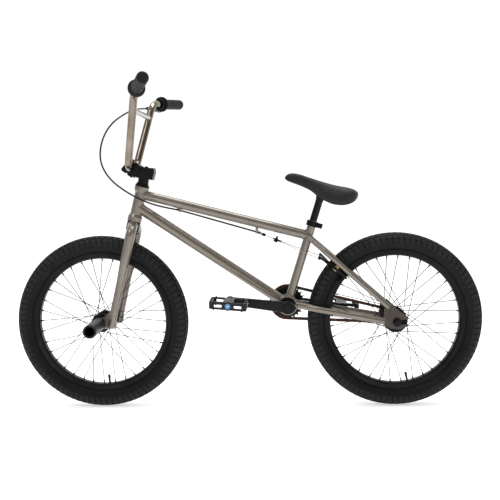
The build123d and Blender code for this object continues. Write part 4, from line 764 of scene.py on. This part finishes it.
STEM_FACE = math.radians(37)
STEM_AHEAD = Vector((-math.cos(STEM_FACE), 0, math.sin(STEM_FACE)))
STEM_RISE = Vector((math.sin(STEM_FACE), 0, math.cos(STEM_FACE)))
BAR_CLAMP = Vector((-339, 0, 721))
bolt_number = 0
for rise in (-15.5, 15.5):
    for y in (-16, 16):
        bolt_number += 1
        place = BAR_CLAMP + STEM_AHEAD * 21 + STEM_RISE * rise + ACROSS * y
        socket_head(f"stem_bolt_head_{bolt_number}", place, STEM_AHEAD, 4.3, 1.4, 4.6, 1.2, BLACK_PAINT,
                    "steering")
for number, height in enumerate((136, 151)):
    place = HEAD_FOOT + HEAD_AXIS * height + Vector((HEAD_AXIS.z, 0, -HEAD_AXIS.x)) * 22 - ACROSS * 23
    socket_head(f"pinch_bolt_head_{number + 1}", place, -ACROSS, 4.3, 1.2, 4.6, 1.0, BLACK_PAINT,
                "steering")
socket_head("top_cap_head", HEAD_FOOT + HEAD_AXIS * 165.5, HEAD_AXIS, 4.9, 1.2, 5.2, 1.0, BLACK_PAINT,
            "steering")
for name, side in SIDES.items():
    socket_head(f"crank_bolt_{name}", BB + ACROSS * 81 * side, ACROSS * side, 10.6, 1.5, 8.0, 1.3,
                BLACK_PAINT, "crankset")


# Cable fittings on the frame --------------------------------------------------------------------------
cable_run = (CABLE_STOP - CABLE_ENTRY).normalized()
for number, share in enumerate((0.02, 0.98)):
    place = CABLE_ENTRY + (CABLE_STOP - CABLE_ENTRY) * share
    outward = -cable_run if share < 0.5 else cable_run
    outline = [(2.55, 3.9), (4.2, 3.9), (4.2, 7.0), (3.5, 8.0), (3.3, 12.0), (2.9, 13.0), (2.55, 13.0)]
    ferrule = lathe(f"cable_ferrule_{number + 1}", place, outward, outline, STOP, 24)
    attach(ferrule, "frame")
wire_run = (Vector((88.5, 0, 501.8)) - CABLE_STOP).normalized()
barrel_outline = [(1.1, 9), (3.2, 9), (3.2, 13), (4.4, 13.6)]
for rib in range(5):
    start = 14.0 + rib * 1.6
    barrel_outline += [(4.4, start), (4.4, start + 0.8), (4.0, start + 1.0), (4.0, start + 1.4)]
barrel_outline += [(4.4, 22.2), (3.6, 23), (1.1, 23)]
barrel = lathe("cable_adjuster", CABLE_STOP, wire_run, barrel_outline, BLACK_ALLOY, 32)
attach(barrel, "frame")

# Pedal end caps' centres
for name, side in SIDES.items():
    middle = (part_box(f"pedal_cap_{name}")[0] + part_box(f"pedal_cap_{name}")[1]) / 2 / MM
    face = Vector((middle.x, side * 177.3, middle.z))
    outline = [(0.01, 0), (3.0, 0), (3.0, 0.5), (2.5, 0.9), (0.01, 1.0)]
    button = lathe(f"pedal_cap_centre_{name}", face, ACROSS * side, outline, BUTTON, 32)
    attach(button, f"pedal_body_{name}")


# Floor and light --------------------------------------------------------------------------------------
def floor_material():
    """A plain pale matte floor that is a little lit from within, so it meets the backdrop without a line."""
    material, _, shader, _ = new_material("floor")
    shader.inputs["Base Color"].default_value = (0.86, 0.86, 0.86, 1)
    shader.inputs["Roughness"].default_value = 0.9
    shader.inputs["Specular IOR Level"].default_value = 0.0
    shader.inputs["Emission Color"].default_value = (1, 1, 1, 1)
    shader.inputs["Emission Strength"].default_value = 0.55
    return material


FLOOR_REACH = 30
FLOOR_HEIGHT = -0.0006
floor_corners = [
    (x * FLOOR_REACH, y * FLOOR_REACH, FLOOR_HEIGHT) for x, y in ((-1, -1), (1, -1), (1, 1), (-1, 1))
]
floor_mesh = bpy.data.meshes.new("floor")
floor_mesh.from_pydata(floor_corners, [], [(0, 1, 2, 3)])
floor_mesh.materials.append(floor_material())
floor = bpy.data.objects.new("floor", floor_mesh)
scene.collection.objects.link(floor)


def area_light(name, place, target, size, power):
    """A soft rectangular light."""
    data = bpy.data.lights.new(name, "AREA")
    data.shape = "RECTANGLE"
    data.size, data.size_y = size
    data.energy = power
    light = bpy.data.objects.new(name, data)
    light.location = place
    light.rotation_mode = "QUATERNION"
    light.rotation_quaternion = (Vector(target) - Vector(place)).to_track_quat("-Z", "Y")
    scene.collection.objects.link(light)


area_light("key", (-1.6, -2.2, 3.4), (0, 0, 0.4), (1.6, 1.6), 34)
area_light("top", (0.2, 0.4, 3.8), (0, 0, 0.3), (3.2, 1.4), 80)
area_light("fill", (3.0, -2.0, 1.6), (0, 0, 0.4), (1.2, 1.6), 7)



def studio_world():
    """A studio that is bright low down all round, behind and above, and dimmer to the bike's left."""
    world = bpy.data.worlds.new("studio")
    world.use_nodes = True
    tree = world.node_tree
    direction = tree.nodes.new("ShaderNodeTexCoord").outputs["Generated"]
    parts = tree.nodes.new("ShaderNodeSeparateXYZ")
    tree.links.new(direction, parts.inputs[0])
    behind = spread(tree, parts.outputs["Y"], 0.10, 1.04, -0.30, 0.60)
    above = spread(tree, parts.outputs["Z"], 0.0, 0.8, 0.40, 0.95)
    low = spread(tree, parts.outputs["Z"], 1.04, 0.0, 0.08, 0.20)
    brightest = behind
    for other in (above, low):
        larger = tree.nodes.new("ShaderNodeMath")
        larger.operation = "MAXIMUM"
        tree.links.new(brightest, larger.inputs[0])
        tree.links.new(other, larger.inputs[1])
        brightest = larger.outputs[0]
    background = tree.nodes["Background"]
    background.inputs["Color"].default_value = (1, 1, 1, 1)
    tree.links.new(brightest, background.inputs["Strength"])
    scene.world = world


studio_world()
scene.view_settings.view_transform = "Standard"
